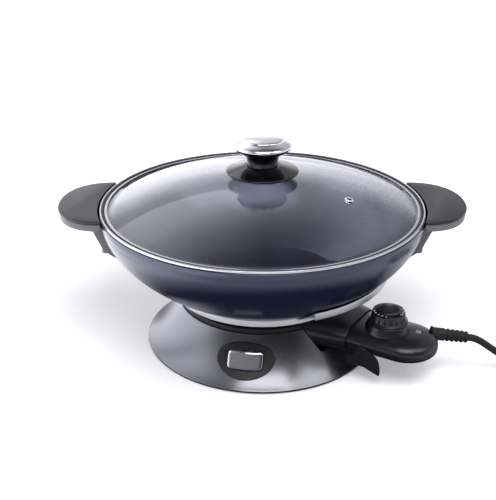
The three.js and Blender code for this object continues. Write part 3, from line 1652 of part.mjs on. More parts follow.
// The coil winds in on the table, climbs a layer while it reverses, and winds out again on top.
class CoilPath extends THREE.Curve {
  getPoint(share) {
    const at = share * coilTurns;
    const angle = -Math.PI / 2 + at * 2 * Math.PI;
    const innerRadius = coilOuterRadius - coilPitch * coilTurnsIn;
    const goneIn = Math.min(at, coilTurnsIn);
    const goneOut = Math.max(at - coilTurnsIn - coilTurnsClimbing, 0);
    const climb = Math.min(Math.max((at - coilTurnsIn) / coilTurnsClimbing, 0), 1);
    const goingIn = coilOuterRadius - coilPitch * goneIn;
    const radius = at < coilTurnsIn ? goingIn : innerRadius + coilPitch * goneOut;
    const rise = climb * climb * (3 - 2 * climb);
    return fromTip([
      coilCentre[0] + radius * Math.cos(angle),
      coilCentre[1] + radius * Math.sin(angle),
      coilLowZ + coilPitch * rise,
    ]);
  }
}

const coilSteps = Math.round(coilTurns * coilStepsPerTurn);
const coilPath = new CoilPath();
const leadPath = new THREE.CatmullRomCurve3(leadPoints.map(fromTip));
const tailPath = new THREE.CatmullRomCurve3(tailPoints.map(fromTip));

function leastCoilGap() {
  const samples = coilPath.getSpacedPoints(4 * coilSteps);
  const near = 3 * coilOuterRadius / 2;
  const spacing = coilPath.getLength() / (samples.length - 1);
  let least = Infinity;
  samples.forEach((point, index) => {
    for (let other = index + Math.ceil(near / spacing); other < samples.length; other++) {
      least = Math.min(least, point.distanceTo(samples[other]));
    }
  });
  return least - 2 * cordRadius;
}

function plugBody() {
  const section = roundedOutline(plugWidth, plugHeight, plugHeight / 3);
  const neckStep = section.map(([x, y]) => {
    const length = Math.hypot(x, y);
    return [x * plugNeckRadius / length, y * plugNeckRadius / length];
  });
  const levels = [
    [neckStep, 0],
    [neckStep, plugTaper * 0.6],
    [section.map(([x, y]) => [x * 0.8, y * 0.8]), plugTaper],
    [section, plugTaper * 1.6],
    [section, plugLength - plugTaper * 0.2],
    [section.map(([x, y]) => [x * 0.92, y * 0.92]), plugLength],
  ];
  const body = lofted(levels.map(([outline, along]) => outline.map(([x, y]) => [x, y, along])));
  return carve(toPlug(body), ...["live", "neutral", "earth"].map((name) => blade(name, seatGap)));
}

// From the plug's own directions, x across, y up and z towards the blades, to where it lies.
function toPlug(geometry) {
  return geometry.rotateX(Math.PI / 2).rotateZ(-Math.PI / 2).translate(...fromTip(plugStart));
}

function blade(name, growth) {
  const places = {
    live: [-bladeSpread, liveBladeRise, -bladeTiltDegrees],
    neutral: [bladeSpread, liveBladeRise, bladeTiltDegrees],
    earth: [0, -earthBladeDrop, 90],
  };
  const [x, y, degrees] = places[name];
  const start = plugLength / 2;
  const half = bladeWidth / 2 + growth;
  const thick = bladeThickness / 2 + growth;
  const geometry = block(-half, half, -thick, thick, start - growth, plugLength + bladeLength);
  return toPlug(geometry.rotateZ(THREE.MathUtils.degToRad(degrees)).translate(x, y, 0));
}

piece("cord_lead", tubeAlong(leadPath, cordRadius, cordSides, leadSteps), rubber);
piece("cord_coil", tubeAlong(coilPath, cordRadius, coilSides, coilSteps), rubber);
piece("cord_tail", tubeAlong(tailPath, cordRadius, cordSides, tailSteps), rubber);
piece("plug_body", plugBody(), rubber);
piece("plug_blade_live", blade("live", 0), brass);
piece("plug_blade_neutral", blade("neutral", 0), brass);
piece("plug_blade_earth", blade("earth", 0), brass);

const cordLength = leadPath.getLength() + coilPath.getLength() + tailPath.getLength();
console.log("least gap between the coil's turns", leastCoilGap().toFixed(2), "mm");
console.log("cord", cordLength.toFixed(0), "mm, straight ends", coilStraight, "mm");
console.log("overall width", overallWidth.toFixed(1), "mm, height", knobCapTopZ.toFixed(1), "mm");

export default root;
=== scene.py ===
"""An electric wok with a domed glass lid, a flared base and a plug-in temperature probe.

Metres, Z up. The origin is on the table below the bowl's axis, the front is -Y and the grips lie on X.
Tables of corners are in millimetres, because that is how such a part is drawn.
"""

import math

import bmesh
import bpy
from mathutils import Matrix, Vector


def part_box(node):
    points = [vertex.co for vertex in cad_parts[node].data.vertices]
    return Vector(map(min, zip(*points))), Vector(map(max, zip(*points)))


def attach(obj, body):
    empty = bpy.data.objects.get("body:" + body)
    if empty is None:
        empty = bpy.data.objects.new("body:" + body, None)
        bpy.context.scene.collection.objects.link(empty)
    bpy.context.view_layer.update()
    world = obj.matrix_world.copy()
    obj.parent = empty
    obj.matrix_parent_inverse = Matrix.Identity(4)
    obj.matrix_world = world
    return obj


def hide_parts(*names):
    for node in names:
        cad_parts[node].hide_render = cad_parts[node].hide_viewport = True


bl_info = {
    "name": "Electric wok",
    "version": (1, 0, 0),
    "blender": (4, 5, 0),
    "location": "3D View > Sidebar > Electric wok",
    "description": "Builds an electric wok with its lid, base, probe and cord",
    "category": "Add Mesh",
}

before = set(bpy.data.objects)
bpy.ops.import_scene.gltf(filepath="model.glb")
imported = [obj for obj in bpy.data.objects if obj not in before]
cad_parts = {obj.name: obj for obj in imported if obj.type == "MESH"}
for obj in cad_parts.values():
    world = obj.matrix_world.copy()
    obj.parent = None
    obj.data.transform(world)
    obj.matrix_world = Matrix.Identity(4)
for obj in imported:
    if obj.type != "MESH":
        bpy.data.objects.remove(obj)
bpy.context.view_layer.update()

MM = 0.001
FULL_TURN = 2 * math.pi
PROBE_ANGLE = math.radians(-31)
PROBE_TURN = Matrix.Rotation(PROBE_ANGLE, 4, "Z")
LATCH_TURN = Matrix.Rotation(math.radians(-99.8), 4, "Z")
LOW, HIGH = 0, 1
HOUSING_SPACE = 84.3 * MM
SCREW_BORE = 2.7 * MM
BUILD_GAP = 0.3 * MM
SAME_PLACE = 0.004 * MM
PART_OF_SIDE = 0.48


def edge_of(node, corner, axis):
    """One coordinate of a node's box: its low or high corner, along x, y or z."""
    return getattr(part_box(node)[corner], axis)


def length(name, description, default):
    """A size that a user can change, in metres."""
    return bpy.props.FloatProperty(
        name=name, description=description, default=default, min=0.0, unit="LENGTH", precision=4
    )


def shade(value):
    """One channel from 0 to 255, as a screen shows it, in linear light."""
    share = value / 255
    if share <= 0.04045:
        return share / 12.92
    return ((share + 0.055) / 1.055) ** 2.4


def colour(name, description, red, green, blue):
    """A colour that a user can change, given as a screen shows it."""
    return bpy.props.FloatVectorProperty(
        name=name,
        description=description,
        default=(shade(red), shade(green), shade(blue)),
        min=0.0,
        max=1.0,
        subtype="COLOR",
        size=3,
    )


def mm(*values):
    """Coordinates in millimetres, in metres."""
    return tuple(value * MM for value in values)


class LidSizes(bpy.types.PropertyGroup):
    """Sizes of the lid and its knob."""

    band_radius: length("Band radius", "Outer radius of the steel band", edge_of("lid_band", HIGH, "x"))
    band_top: length("Band top", "Height of the band's upper edge", edge_of("lid_band", HIGH, "z"))
    glass_apex: length("Glass apex", "Height of the dome's top", edge_of("lid_glass", HIGH, "z"))
    glass_rise: length("Glass rise", "How far the dome rises above its edge", 0.0306)
    glass_wall: length("Glass thickness", "Thickness of the glass", 0.0033)
    vent_radius: length("Vent radius", "Radius of the steam vent", 0.0024)
    knob_base: length("Knob foot", "Height of the knob's foot", edge_of("knob_skirt", LOW, "z"))
    knob_skirt: length("Knob skirt radius", "Radius of the disc under the knob", 0.0381)
    knob_stem: length("Knob waist radius", "Radius of the knob's waist", 0.0164)
    knob_cap: length("Knob cap radius", "Radius of the knob's chrome cap", 0.0312)


class BowlSizes(bpy.types.PropertyGroup):
    """Sizes of the bowl and what hangs under it."""

    rim_radius: length("Rim radius", "Outer radius of the rim", 0.1714)
    rim_height: length("Rim height", "Height of the rim", edge_of("wok_bowl", HIGH, "z"))
    bottom_height: length("Bottom height", "Height of the flat bottom", 0.0633)
    seat_radius: length("Seat radius", "Radius of the flat bottom", 0.08793)
    band_height: length("Rim band height", "Height of the upright band below the rim", 0.0063)
    wall: length("Wall", "Thickness of the casting's wall", 0.0042)
    floor: length("Floor", "Thickness of the casting's floor", 0.005)
    trim_radius: length("Trim radius", "Radius of the steel ring under the bowl", 0.097)
    trim_bottom: length("Trim bottom", "Height of the ring's lower edge", edge_of("trim_ring", LOW, "z"))
    shield_reach: length("Shield reach", "How far the heat shield reaches out", 0.041)
    shroud_mouth: length("Shroud mouth", "Distance of the probe's opening from the axis", 0.119)


class GripSizes(bpy.types.PropertyGroup):
    """Sizes of the two side grips."""

    tip: length("Tip", "Distance of a grip's tip from the axis", edge_of("right_grip_top", HIGH, "x"))
    centre: length("Centre", "Distance of the rounded outline's centre from the axis", 0.165)
    half_width: length("Half width", "Half of a grip's width", 0.058)
    top: length("Top", "Height of the upper face", edge_of("right_grip_top", HIGH, "z"))
    plate: length("Plate thickness", "Thickness of the upper plate", 0.003)
    body: length("Body thickness", "Thickness of the part below the plate", 0.008)


class BaseSizes(bpy.types.PropertyGroup):
    """Sizes of the base and its release button."""

    bottom_radius: length("Bottom radius", "Radius of the skirt at the table", 0.127)
    top_radius: length("Top radius", "Radius of the skirt at its top", 0.0905)
    stand: length("Stand", "How far the feet lift the skirt", 0.0012)
    top_height: length("Top height", "Height of the skirt's top", edge_of("base_skirt", HIGH, "z"))
    wall: length("Wall", "Thickness of the skirt", 0.0022)
    collar_radius: length("Collar radius", "Outer radius of the collar", 0.0896)
    collar_top: length("Collar top", "Height of the collar", edge_of("base_cradle", HIGH, "z"))
    button_width: length("Button width", "Width of the release button", 0.036)
    button_height: length("Button height", "Height of the release button", 0.015)
    badge_width: length("Surround width", "Width of the oval plate round the button", 0.0606)
    badge_height: length("Surround height", "Height of the oval plate round the button", 0.0364)


class ProbeSizes(bpy.types.PropertyGroup):
    """Sizes of the temperature probe and its dial."""

    nose: length("Nose", "Distance of the probe's nose from the axis", 0.09)
    end: length("End", "Distance of the probe's round end from the axis", 0.204)
    half_width: length("Half width", "Half of the probe's width", 0.0331)
    middle: length("Middle height", "Height of the probe's widest line", 0.0368)
    crown: length("Crown", "Height of the probe's back above its middle", 0.013)
    belly: length("Belly", "Depth of the probe below its middle", 0.009)
    wall: length("Wall", "Thickness of the shells", 0.0022)
    dial_along: length("Dial place", "Distance of the dial's axis from the bowl's axis", 0.1505)
    dial_radius: length("Dial radius", "Radius of the dial's skirt", 0.0202)
    dial_bottom: length("Dial bottom", "Height of the dial's lower face", edge_of("dial_knob", LOW, "z"))
    dial_top: length("Dial top", "Height of the dial's upper face", edge_of("dial_knob", HIGH, "z"))


class CordSizes(bpy.types.PropertyGroup):
    """Sizes of the mains cord."""

    diameter: length("Diameter", "Thickness of the cord", 0.0075)
    coil_radius: length("Coil radius", "Radius of the coil's outer turn, at its middle line", 0.048)
    coil_pitch: length("Coil pitch", "Distance from one turn to the next", 0.0092)
    tie_width: length("Tie width", "Width of the tie round the coil", 0.008)


class Colours(bpy.types.PropertyGroup):
    """Colours of the finishes."""

    coating: colour("Coating", "Non-stick coat of the bowl", 15, 17, 46)
    paint: colour("Base paint", "Satin paint of the base", 122, 122, 128)
    grip: colour("Grip plastic", "Satin plastic of the grips", 26, 25, 29)
    grip_side: colour("Grip side", "Plastic of the grips' sides and brackets", 104, 104, 108)
    plastic: colour("Dark plastic", "Plastic of the probe and collar", 22, 22, 25)
    gloss: colour("Gloss plastic", "Polished plastic of the knob", 12, 12, 15)
    inner: colour("Inner plastic", "Plastic of hidden pieces", 34, 34, 37)
    steel: colour("Steel", "Steel of the ring, the shield and the band", 196, 196, 200)
    chrome: colour("Chrome", "Chrome of the knob and the button", 236, 236, 240)
    brass: colour("Brass", "Brass of the contacts and the plug's blades", 205, 170, 96)
    rubber: colour("Rubber", "Rubber of the feet, the cord and the plug", 17, 17, 19)
    ceramic: colour("Ceramic", "Ceramic of the bushes", 226, 220, 208)
    mark: colour("Marks", "Printed dots and ticks of the dial", 236, 236, 238)
    lens: colour("Lens", "Smoky clear plastic over the lamp", 187.5, 184.1, 187.5)
    floor: colour("Floor", "The plain floor", 246, 246, 250)


# Shapes


def transformed(bm, matrix):
    """Moves a whole shape."""
    bmesh.ops.transform(bm, matrix=matrix, verts=bm.verts)
    return bm


def tidied(bm):
    """Merges doubled points and turns the faces outwards."""
    bmesh.ops.remove_doubles(bm, verts=bm.verts, dist=SAME_PLACE)
    bmesh.ops.recalc_face_normals(bm, faces=bm.faces)
    return bm


def rounded(corners, steps=4):
    """A closed outline from corners of (x, y, rounding), or (x, y) where a corner stays sharp."""
    outline = []
    for index, point in enumerate(corners):
        x, y, rounding = (*point, 0.0)[:3]
        corner = Vector((x, y))
        before = Vector(corners[index - 1][:2]) - corner
        after = Vector(corners[(index + 1) % len(corners)][:2]) - corner
        reach = min(rounding, PART_OF_SIDE * before.length, PART_OF_SIDE * after.length)
        if reach <= 0:
            outline.append(corner)
            continue
        start = corner + before.normalized() * reach
        end = corner + after.normalized() * reach
        for step in range(steps + 1):
            share = step / steps
            near = start.lerp(corner, share)
            far = corner.lerp(end, share)
            outline.append(near.lerp(far, share))
    return outline


def round_place(reach, angle):
    """A point at a distance from the origin, in a direction."""
    return reach * math.cos(angle), reach * math.sin(angle)


def oblong(half_width, half_height, corner, steps):
    """A rounded oblong about the origin."""
    sides = ((1, 1), (-1, 1), (-1, -1), (1, -1))
    return rounded([(x * half_width, y * half_height, corner) for x, y in sides], steps)


def drawn(table, radius=0.0, height=0.0, steps=4):
    """A rounded outline from a table in millimetres, measured from a radius and a height."""
    corners = []
    for x, z, rounding in table:
        corners.append((radius + x * MM, height + z * MM, rounding * MM))
    return rounded(corners, steps)


def splined(points, steps=8):
    """A smooth curve through points, which may have two or three coordinates."""
    points = [Vector(point) for point in points]
    first = points[0] * 2 - points[1]
    last = points[-1] * 2 - points[-2]
    line = [first, *points, last]
    curve = []
    for a, b, c, d in zip(line, line[1:], line[2:], line[3:]):
        times = [0.0]
        for near, far in ((a, b), (b, c), (c, d)):
            times.append(times[-1] + max((far - near).length, 1e-9) ** 0.5)
        for step in range(steps):
            at = times[1] + (times[2] - times[1]) * step / steps
            level = [a, b, c, d]
            for reach in (1, 2):
                upper = []
                for i in range(len(level) - 1):
                    share = (at - times[i]) / (times[i + reach] - times[i])
                    upper.append(level[i] * (1 - share) + level[i + 1] * share)
                level = upper
            share = (at - times[1]) / (times[2] - times[1])
            curve.append(level[0] * (1 - share) + level[1] * share)
    curve.append(points[-1])
    return curve


def spun(outline, steps=128, angle=FULL_TURN, start=0.0, closed=True):
    """An outline of (radius, height) points spun about the Z axis."""
    bm = bmesh.new()
    verts = [bm.verts.new((radius, 0.0, height)) for radius, height in outline]
    edges = [bm.edges.new(pair) for pair in zip(verts, verts[1:])]
    if closed:
        edges.append(bm.edges.new((verts[-1], verts[0])))
    transformed(bm, Matrix.Rotation(start, 4, "Z"))
    full = abs(angle - FULL_TURN) < 1e-6
    bmesh.ops.spin(
        bm,
        geom=verts + edges,
        cent=(0.0, 0.0, 0.0),
        axis=(0.0, 0.0, 1.0),
        angle=angle,
        steps=steps,
        use_merge=full,
    )
    if not full:
        bmesh.ops.holes_fill(bm, edges=bm.edges, sides=0)
    return tidied(bm)


def bridged(rings, looped=False):
    """Rings with as many points each, bridged one to the next; the ends are flat, or joined if looped."""
    bm = bmesh.new()
    loops = []
    for ring in rings:
        verts = [bm.verts.new(point) for point in ring]
        loops.append([bm.edges.new((verts[i - 1], verts[i])) for i in range(len(verts))])
    pairs = list(zip(loops, loops[1:]))
    if looped:
        pairs.append((loops[-1], loops[0]))
    for near, far in pairs:
        bmesh.ops.bridge_loops(bm, edges=near + far)
    if not looped:
        bmesh.ops.holes_fill(bm, edges=loops[0] + loops[-1], sides=0)
    return tidied(bm)


def extruded(outline, low, high):
    """A flat outline in X and Y, extruded upwards from one height to another."""
    bm = bmesh.new()
    face = bm.faces.new([bm.verts.new((x, y, low)) for x, y in outline])
    made = bmesh.ops.extrude_face_region(bm, geom=[face])["geom"]
    upper = [item for item in made if isinstance(item, bmesh.types.BMVert)]
    bmesh.ops.translate(bm, vec=(0.0, 0.0, high - low), verts=upper)
    bmesh.ops.holes_fill(bm, edges=bm.edges, sides=0)
    return tidied(bm)


def bevelled(bm, width, segments=3, least=30):
    """Rounds every edge whose faces meet at more than an angle, in degrees."""
    edges = [edge for edge in bm.edges if edge.calc_face_angle(0.0) > math.radians(least)]
    bmesh.ops.bevel(
        bm,
        geom=edges,
        offset=width,
        segments=segments,
        profile=0.5,
        affect="EDGES",
        clamp_overlap=True,
        material=-1,
    )
    return bm


def block(low, high, turn=None):
    """A box between two corners."""
    low = Vector(low)
    high = Vector(high)
    bm = bmesh.new()
    bmesh.ops.create_cube(bm, size=1.0)
    size = high - low
    transformed(bm, Matrix.Translation((low + high) / 2) @ Matrix.Diagonal((*size, 1.0)))
    if turn:
        transformed(bm, turn)
    return bm


def rod(radius, start, end, segments=32, turn=None):
    """A round bar between two points."""
    start = Vector(start)
    end = Vector(end)
    run = end - start
    bm = bmesh.new()
    bmesh.ops.create_cone(
        bm, cap_ends=True, segments=segments, radius1=radius, radius2=radius, depth=run.length
    )
    lie = run.to_track_quat("Z", "Y").to_matrix().to_4x4()
    transformed(bm, Matrix.Translation((start + end) / 2) @ lie)
    if turn:
        transformed(bm, turn)
    return bm


def gathered(shapes):
    """Several shapes that don't touch, as one."""
    whole = bmesh.new()
    for bm in shapes:
        mesh = bpy.data.meshes.new("shape")
        bm.to_mesh(mesh)
        bm.free()
        whole.from_mesh(mesh)
        bpy.data.meshes.remove(mesh)
    return whole


def combined(bm, tool, operation="DIFFERENCE"):
    """One shape cut by another, joined to it, or where both are."""
    pair = []
    for shape in (bm, tool):
        mesh = bpy.data.meshes.new("shape")
        shape.to_mesh(mesh)
        shape.free()
        obj = bpy.data.objects.new("shape", mesh)
        bpy.context.scene.collection.objects.link(obj)
        pair.append(obj)
    modifier = pair[0].modifiers.new("Combine", "BOOLEAN")
    modifier.object = pair[1]
    modifier.operation = operation
    modifier.solver = "EXACT"
    result = bmesh.new()
    result.from_object(pair[0], bpy.context.evaluated_depsgraph_get())
    for obj in pair:
        mesh = obj.data
        bpy.data.objects.remove(obj)
        bpy.data.meshes.remove(mesh)
    bmesh.ops.remove_doubles(result, verts=result.verts, dist=SAME_PLACE)
    return result


def piece(name, bm, body, look, replaces=(), sharp=32):
    """A finished piece: smooth where its faces meet at less than an angle, riding on a body."""
    mesh = bpy.data.meshes.new(name)
    bm.normal_update()
    bm.to_mesh(mesh)
    bm.free()
    mesh.shade_smooth()
    mesh.set_sharp_from_angle(angle=math.radians(sharp))
    mesh.materials.append(finish(look))
    obj = bpy.data.objects.new(name, mesh)
    bpy.context.scene.collection.objects.link(obj)
    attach(obj, body)
    if replaces:
        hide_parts(*replaces)
    return obj


def dress(node_name, look):
    """Gives a CAD node that stays its finish."""
    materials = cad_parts[node_name].data.materials
    materials.clear()
    materials.append(finish(look))


# Finishes: a name in the palette, roughness, share of metal, change of colour, grain, relief and smudge

FINISHES = {
    "Satin paint": ("paint", 0.24, 0.95, 0.05, 2600.0, 0.03, 0.05),
    "Grip plastic": ("grip", 0.42, 0.0, 0.1, 1900.0, 0.16, 0.05),
    "Grip side": ("grip_side", 0.34, 0.0, 0.08, 1900.0, 0.1, 0.05),
    "Dark plastic": ("plastic", 0.3, 0.0, 0.12, 1700.0, 0.08, 0.05),
    "Gloss plastic": ("gloss", 0.09, 0.0, 0.1, 300.0, 0.02, 0.04),
    "Inner plastic": ("inner", 0.55, 0.0, 0.12, 1200.0, 0.15, 0.05),
    "Turned steel": ("steel", 0.2, 1.0, 0.08, 2200.0, 0.1, 0.05),
    "Plain steel": ("steel", 0.34, 1.0, 0.1, 900.0, 0.05, 0.05),
    "Satin steel": ("chrome", 0.45, 0.3, 0.05, 900.0, 0.04, 0.05),
    "Chrome": ("chrome", 0.06, 1.0, 0.03, 90.0, 0.01, 0.03),
    "Brass": ("brass", 0.3, 1.0, 0.15, 1100.0, 0.06, 0.05),
    "Rubber": ("rubber", 0.6, 0.0, 0.2, 2400.0, 0.2, 0.05),
    "Ceramic": ("ceramic", 0.6, 0.0, 0.06, 1600.0, 0.12, 0.05),
    "Printed marks": ("mark", 0.5, 0.0, 0.04, 3000.0, 0.05, 0.05),
    "Clear lens": ("lens", 0.08, 0.0, 0.05, 200.0, 0.02, 0.05),
}
WITH_FINE_RINGS = "Turned steel"
CLEARNESS = {"Clear lens": 0.6}
COOL_WHITE = (0.93, 0.93, 1.0, 1.0)


def node(tree, kind, inputs=None, **settings):
    """Adds a shader node; an input is a value or a socket to link from."""
    made = tree.nodes.new(kind)
    for key, value in settings.items():
        setattr(made, key, value)
    for key, value in (inputs or {}).items():
        if isinstance(value, bpy.types.NodeSocket):
            tree.links.new(value, made.inputs[key])
        else:
            made.inputs[key].default_value = value
    return made


def maths(tree, operation, first, second):
    """A sum, a product or the like of two sockets or numbers."""
    return node(tree, "ShaderNodeMath", {0: first, 1: second}, operation=operation).outputs[0]


def mapped(tree, value, start, end, low, high):
    """A socket's value carried from one range to another, and held at its ends."""
    inputs = {"Value": value, "From Min": start, "From Max": end, "To Min": low, "To Max": high}
    return node(tree, "ShaderNodeMapRange", inputs).outputs["Result"]


def blended(tree, factor, first, second):
    """A colour between two others, by a factor."""
    return node(tree, "ShaderNodeMix", {0: factor, 6: first, 7: second}, data_type="RGBA").outputs[2]


def reach_of(tree, place):
    """A vector socket's length."""
    return node(tree, "ShaderNodeVectorMath", {0: place}, operation="LENGTH").outputs["Value"]


def noise(tree, place, scale, detail=3.0):
    """A noise pattern's socket, from 0 to 1."""
    inputs = {"Vector": place, "Scale": scale, "Detail": detail, "Roughness": 0.6}
    return node(tree, "ShaderNodeTexNoise", inputs).outputs["Fac"]


def spread(tree, pattern, low, high):
    """A noise pattern stretched from the middle of its range to two values."""
    return mapped(tree, pattern, 0.3, 0.7, low, high)


def mottled(tree, pattern, tone, change):
    """A colour that varies by a share with a pattern."""
    darker = [channel * (1 - change) for channel in tone]
    lighter = [min(channel * (1 + change), 1.0) for channel in tone]
    return blended(tree, pattern, (*darker, 1.0), (*lighter, 1.0))


def relief(tree, height, strength, depth):
    """A bumped normal's socket."""
    inputs = {"Height": height, "Strength": strength, "Distance": depth}
    return node(tree, "ShaderNodeBump", inputs).outputs[0]


def round_and_up(tree, place):
    """Coordinates of distance from the Z axis and height, so that a pattern runs round the piece."""
    flat = node(tree, "ShaderNodeVectorMath", {0: place, 1: (1.0, 1.0, 0.0)}, operation="MULTIPLY")
    height = node(tree, "ShaderNodeSeparateXYZ", {0: place}).outputs["Z"]
    inputs = {0: reach_of(tree, flat.outputs[0]), 2: height}
    return node(tree, "ShaderNodeCombineXYZ", inputs).outputs[0]


def palette():
    """The colours that a user may have changed."""
    return bpy.context.scene.wok_colours


SMUDGE_SCALE = 28.0
SMUDGE_DETAIL = 4.0
GRAIN_DEPTH = 0.1 * MM


def grained(tree, place, name):
    """A fine grain, broad smudges in the gloss and a slight change of colour."""
    tone, roughness, metallic, change, grain, strength, smudge = FINISHES[name]
    fine_place = round_and_up(tree, place) if name == WITH_FINE_RINGS else place
    fine = noise(tree, fine_place, grain)
    broad = noise(tree, place, SMUDGE_SCALE, SMUDGE_DETAIL)
    half = maths(tree, "MULTIPLY", maths(tree, "ADD", fine, broad), 0.5)
    return {
        "Base Color": mottled(tree, half, getattr(palette(), tone), change),
        "Roughness": spread(tree, half, max(roughness - smudge, 0.0), roughness + smudge),
        "Metallic": metallic,
        "Transmission Weight": CLEARNESS.get(name, 0.0),
        "Normal": relief(tree, fine, strength, GRAIN_DEPTH),
    }


def coat(tree, place):
    """A smooth dark film with fine mineral flecks and a faint orange peel."""
    tone = palette().coating
    flecks = node(tree, "ShaderNodeTexVoronoi", {"Vector": place, "Scale": 1400.0}, feature="F1")
    fleck = mapped(tree, flecks.outputs["Distance"], 0.12, 0.3, 1.0, 0.0)
    pale = (*[min(channel * 2.2 + 0.01, 1.0) for channel in tone], 1.0)
    broad = noise(tree, place, 35.0, 4.0)
    return {
        "Base Color": blended(tree, fleck, mottled(tree, broad, tone, 0.1), pale),
        "Roughness": spread(tree, broad, 0.2, 0.26),
        "Specular IOR Level": 0.9,
        "Specular Tint": (0.82, 0.84, 1.0, 1.0),
        "Normal": relief(tree, noise(tree, place, 420.0, 2.0), 0.03, 0.08 * MM),
    }


def tempered(tree, place):
    """Clear glass with very faint smears."""
    return {
        "Base Color": COOL_WHITE,
        "Roughness": spread(tree, noise(tree, place, 40.0, 2.0), 0.0, 0.01),
        "IOR": 1.5,
        "Transmission Weight": 1.0,
    }


SPECIAL_FINISHES = {"Non-stick coat": coat, "Lid glass": tempered}


def fresh(name):
    """A new material without nodes."""
    material = bpy.data.materials.new(name)
    material.use_nodes = True
    material.node_tree.nodes.clear()
    return material


def finish(name):
    """The finish of that name, which is made when it is first asked for."""
    if name in bpy.data.materials:
        return bpy.data.materials[name]
    material = fresh(name)
    tree = material.node_tree
    place = node(tree, "ShaderNodeTexCoord").outputs["Object"]
    if name in SPECIAL_FINISHES:
        inputs = SPECIAL_FINISHES[name](tree, place)
    else:
        inputs = grained(tree, place, name)
    shader = node(tree, "ShaderNodeBsdfPrincipled", inputs)
    node(tree, "ShaderNodeOutputMaterial", {"Surface": shader.outputs[0]})
    return material


# The bowl's curve

CURVE_DROP = 15.4 * MM
CURVE_OUT = 1.6
CURVE_UP = 1.11
CURVE_END = math.radians(86)
BAND_STEP = 0.8 * MM


def moved_sideways(points, distance):
    """An open profile moved to its right as it runs."""
    moved = []
    last = len(points) - 1
    for index, (radius, height) in enumerate(points):
        before = points[max(index - 1, 0)]
        after = points[min(index + 1, last)]
        run = Vector((after[0] - before[0], after[1] - before[1])).normalized()
        moved.append((radius + distance * run.y, height - distance * run.x))
    return moved


def bowl_angle(height):
    """Where on its curve the bowl reaches a height."""
    bowl = bpy.context.scene.wok_bowl
    start = bowl.bottom_height - CURVE_DROP
    end = bowl.rim_height - bowl.band_height
    share = (height - start) / (end - start)
    return math.acos((1 - share) ** (1 / CURVE_UP))


def bowl_point(angle):
    """A point of the bowl's outer curve, as radius and height."""
    bowl = bpy.context.scene.wok_bowl
    shoulder = bowl.rim_radius - BAND_STEP
    seat_share = math.sin(bowl_angle(bowl.bottom_height)) ** CURVE_OUT
    start = (bowl.seat_radius - shoulder * seat_share) / (1 - seat_share)
    low = bowl.bottom_height - CURVE_DROP
    high = bowl.rim_height - bowl.band_height
    out_share = math.sin(angle) ** CURVE_OUT
    up_share = 1 - math.cos(angle) ** CURVE_UP
    return start + (shoulder - start) * out_share, low + (high - low) * up_share


def bowl_curve(gap, steps=28):
    """The bowl's outer curve from its flat bottom to its shoulder, moved outwards by a gap."""
    bowl = bpy.context.scene.wok_bowl
    first = bowl_angle(bowl.bottom_height)
    points = [bowl_point(first + (CURVE_END - first) * step / steps) for step in range(steps + 1)]
    points.append((bowl.rim_radius - BAND_STEP, bowl.rim_height - bowl.band_height))
    return moved_sideways(points, gap)


def bowl_height_at(radius, gap):
    """The height of the bowl's outside at a radius, moved outwards by a gap."""
    curve = bowl_curve(gap)
    for (low_radius, low), (high_radius, high) in zip(curve, curve[1:]):
        if high_radius > radius:
            return low + (high - low) * (radius - low_radius) / (high_radius - low_radius)
    return curve[-1][1]


def bowl_filled(gap):
    """The bowl without its hollow, grown by a gap, to cut other pieces with."""
    bowl = bpy.context.scene.wok_bowl
    outer = bowl.rim_radius + gap
    curve = bowl_curve(gap)
    low = bowl.rim_height - bowl.band_height
    high = bowl.rim_height + 10 * MM
    return spun([(0.0, curve[0][1]), *curve, (outer, low), (outer, high), (0.0, high)], closed=False)


# The base's curve

SKIRT_LIP = 1.8 * MM
SKIRT_SAG = 0.45
BADGE_SHARE = 0.62
BUTTON_CORNER = 3.8 * MM
BUTTON_CLEARANCE = 0.5 * MM


def skirt_point(share):
    """A point of the skirt's face, from its foot to its top."""
    base = bpy.context.scene.wok_base
    sag = SKIRT_SAG * share * (1 - share)
    rise = base.top_height - base.stand - SKIRT_LIP
    radius = base.bottom_radius + (base.top_radius - base.bottom_radius) * share
    return radius, base.stand + SKIRT_LIP + rise * (share - sag)


def skirt_curve(steps=24):
    return [skirt_point(step / steps) for step in range(steps + 1)]


def skirt_slope():
    """How steeply the skirt's face stands behind the button."""
    radius, height = skirt_point(BADGE_SHARE)
    top_radius, top_height = skirt_point(1.0)
    return math.atan2(top_height - height, radius - top_radius)


def skirt_face(across, height, gap):
    """A point in front of the skirt's face, at a height and a distance across, in the latch's directions."""
    curve = skirt_curve()
    for (low_radius, low), (high_radius, high) in zip(curve, curve[1:]):
        if high > height or high == curve[-1][1]:
            radius = low_radius + (high_radius - low_radius) * (height - low) / (high - low)
            break
    radius += gap / math.sin(skirt_slope())
    return Vector((math.sqrt(radius**2 - across**2), across, height))


# The probe's form

SECTION_POWER = 3
PAD_POWER = 2.2
SHROUD_GROWTH = 2.4 * MM
SHROUD_START = 66.25 * MM
EAR_GAP = 1.2 * MM
SHROUD_FLARE = 13.3 * MM
SHROUD_FLARE_RISE = 7.5 * MM


def shroud_swell(along):
    """How far the shroud has swollen at a distance from the axis: 0 at its mouth, 1 at its start."""
    mouth = bpy.context.scene.wok_bowl.shroud_mouth
    return (mouth - along) / (mouth - SHROUD_START)


def arch(half_width, crown, belly, middle, inset=0.0, steps=64):
    """The tunnel section of the shroud: an arch above its middle and a shallower belly, as (y, z)."""
    outline = []
    for step in range(steps):
        angle = step / steps * FULL_TURN
        cosine = math.cos(angle)
        sine = math.sin(angle)
        height = (crown if sine > 0 else belly) - inset
        y = math.copysign((half_width - inset) * abs(cosine) ** (2 / SECTION_POWER), cosine)
        z = middle + math.copysign(height * abs(sine) ** (2 / SECTION_POWER), sine)
        outline.append((y, z))
    return outline


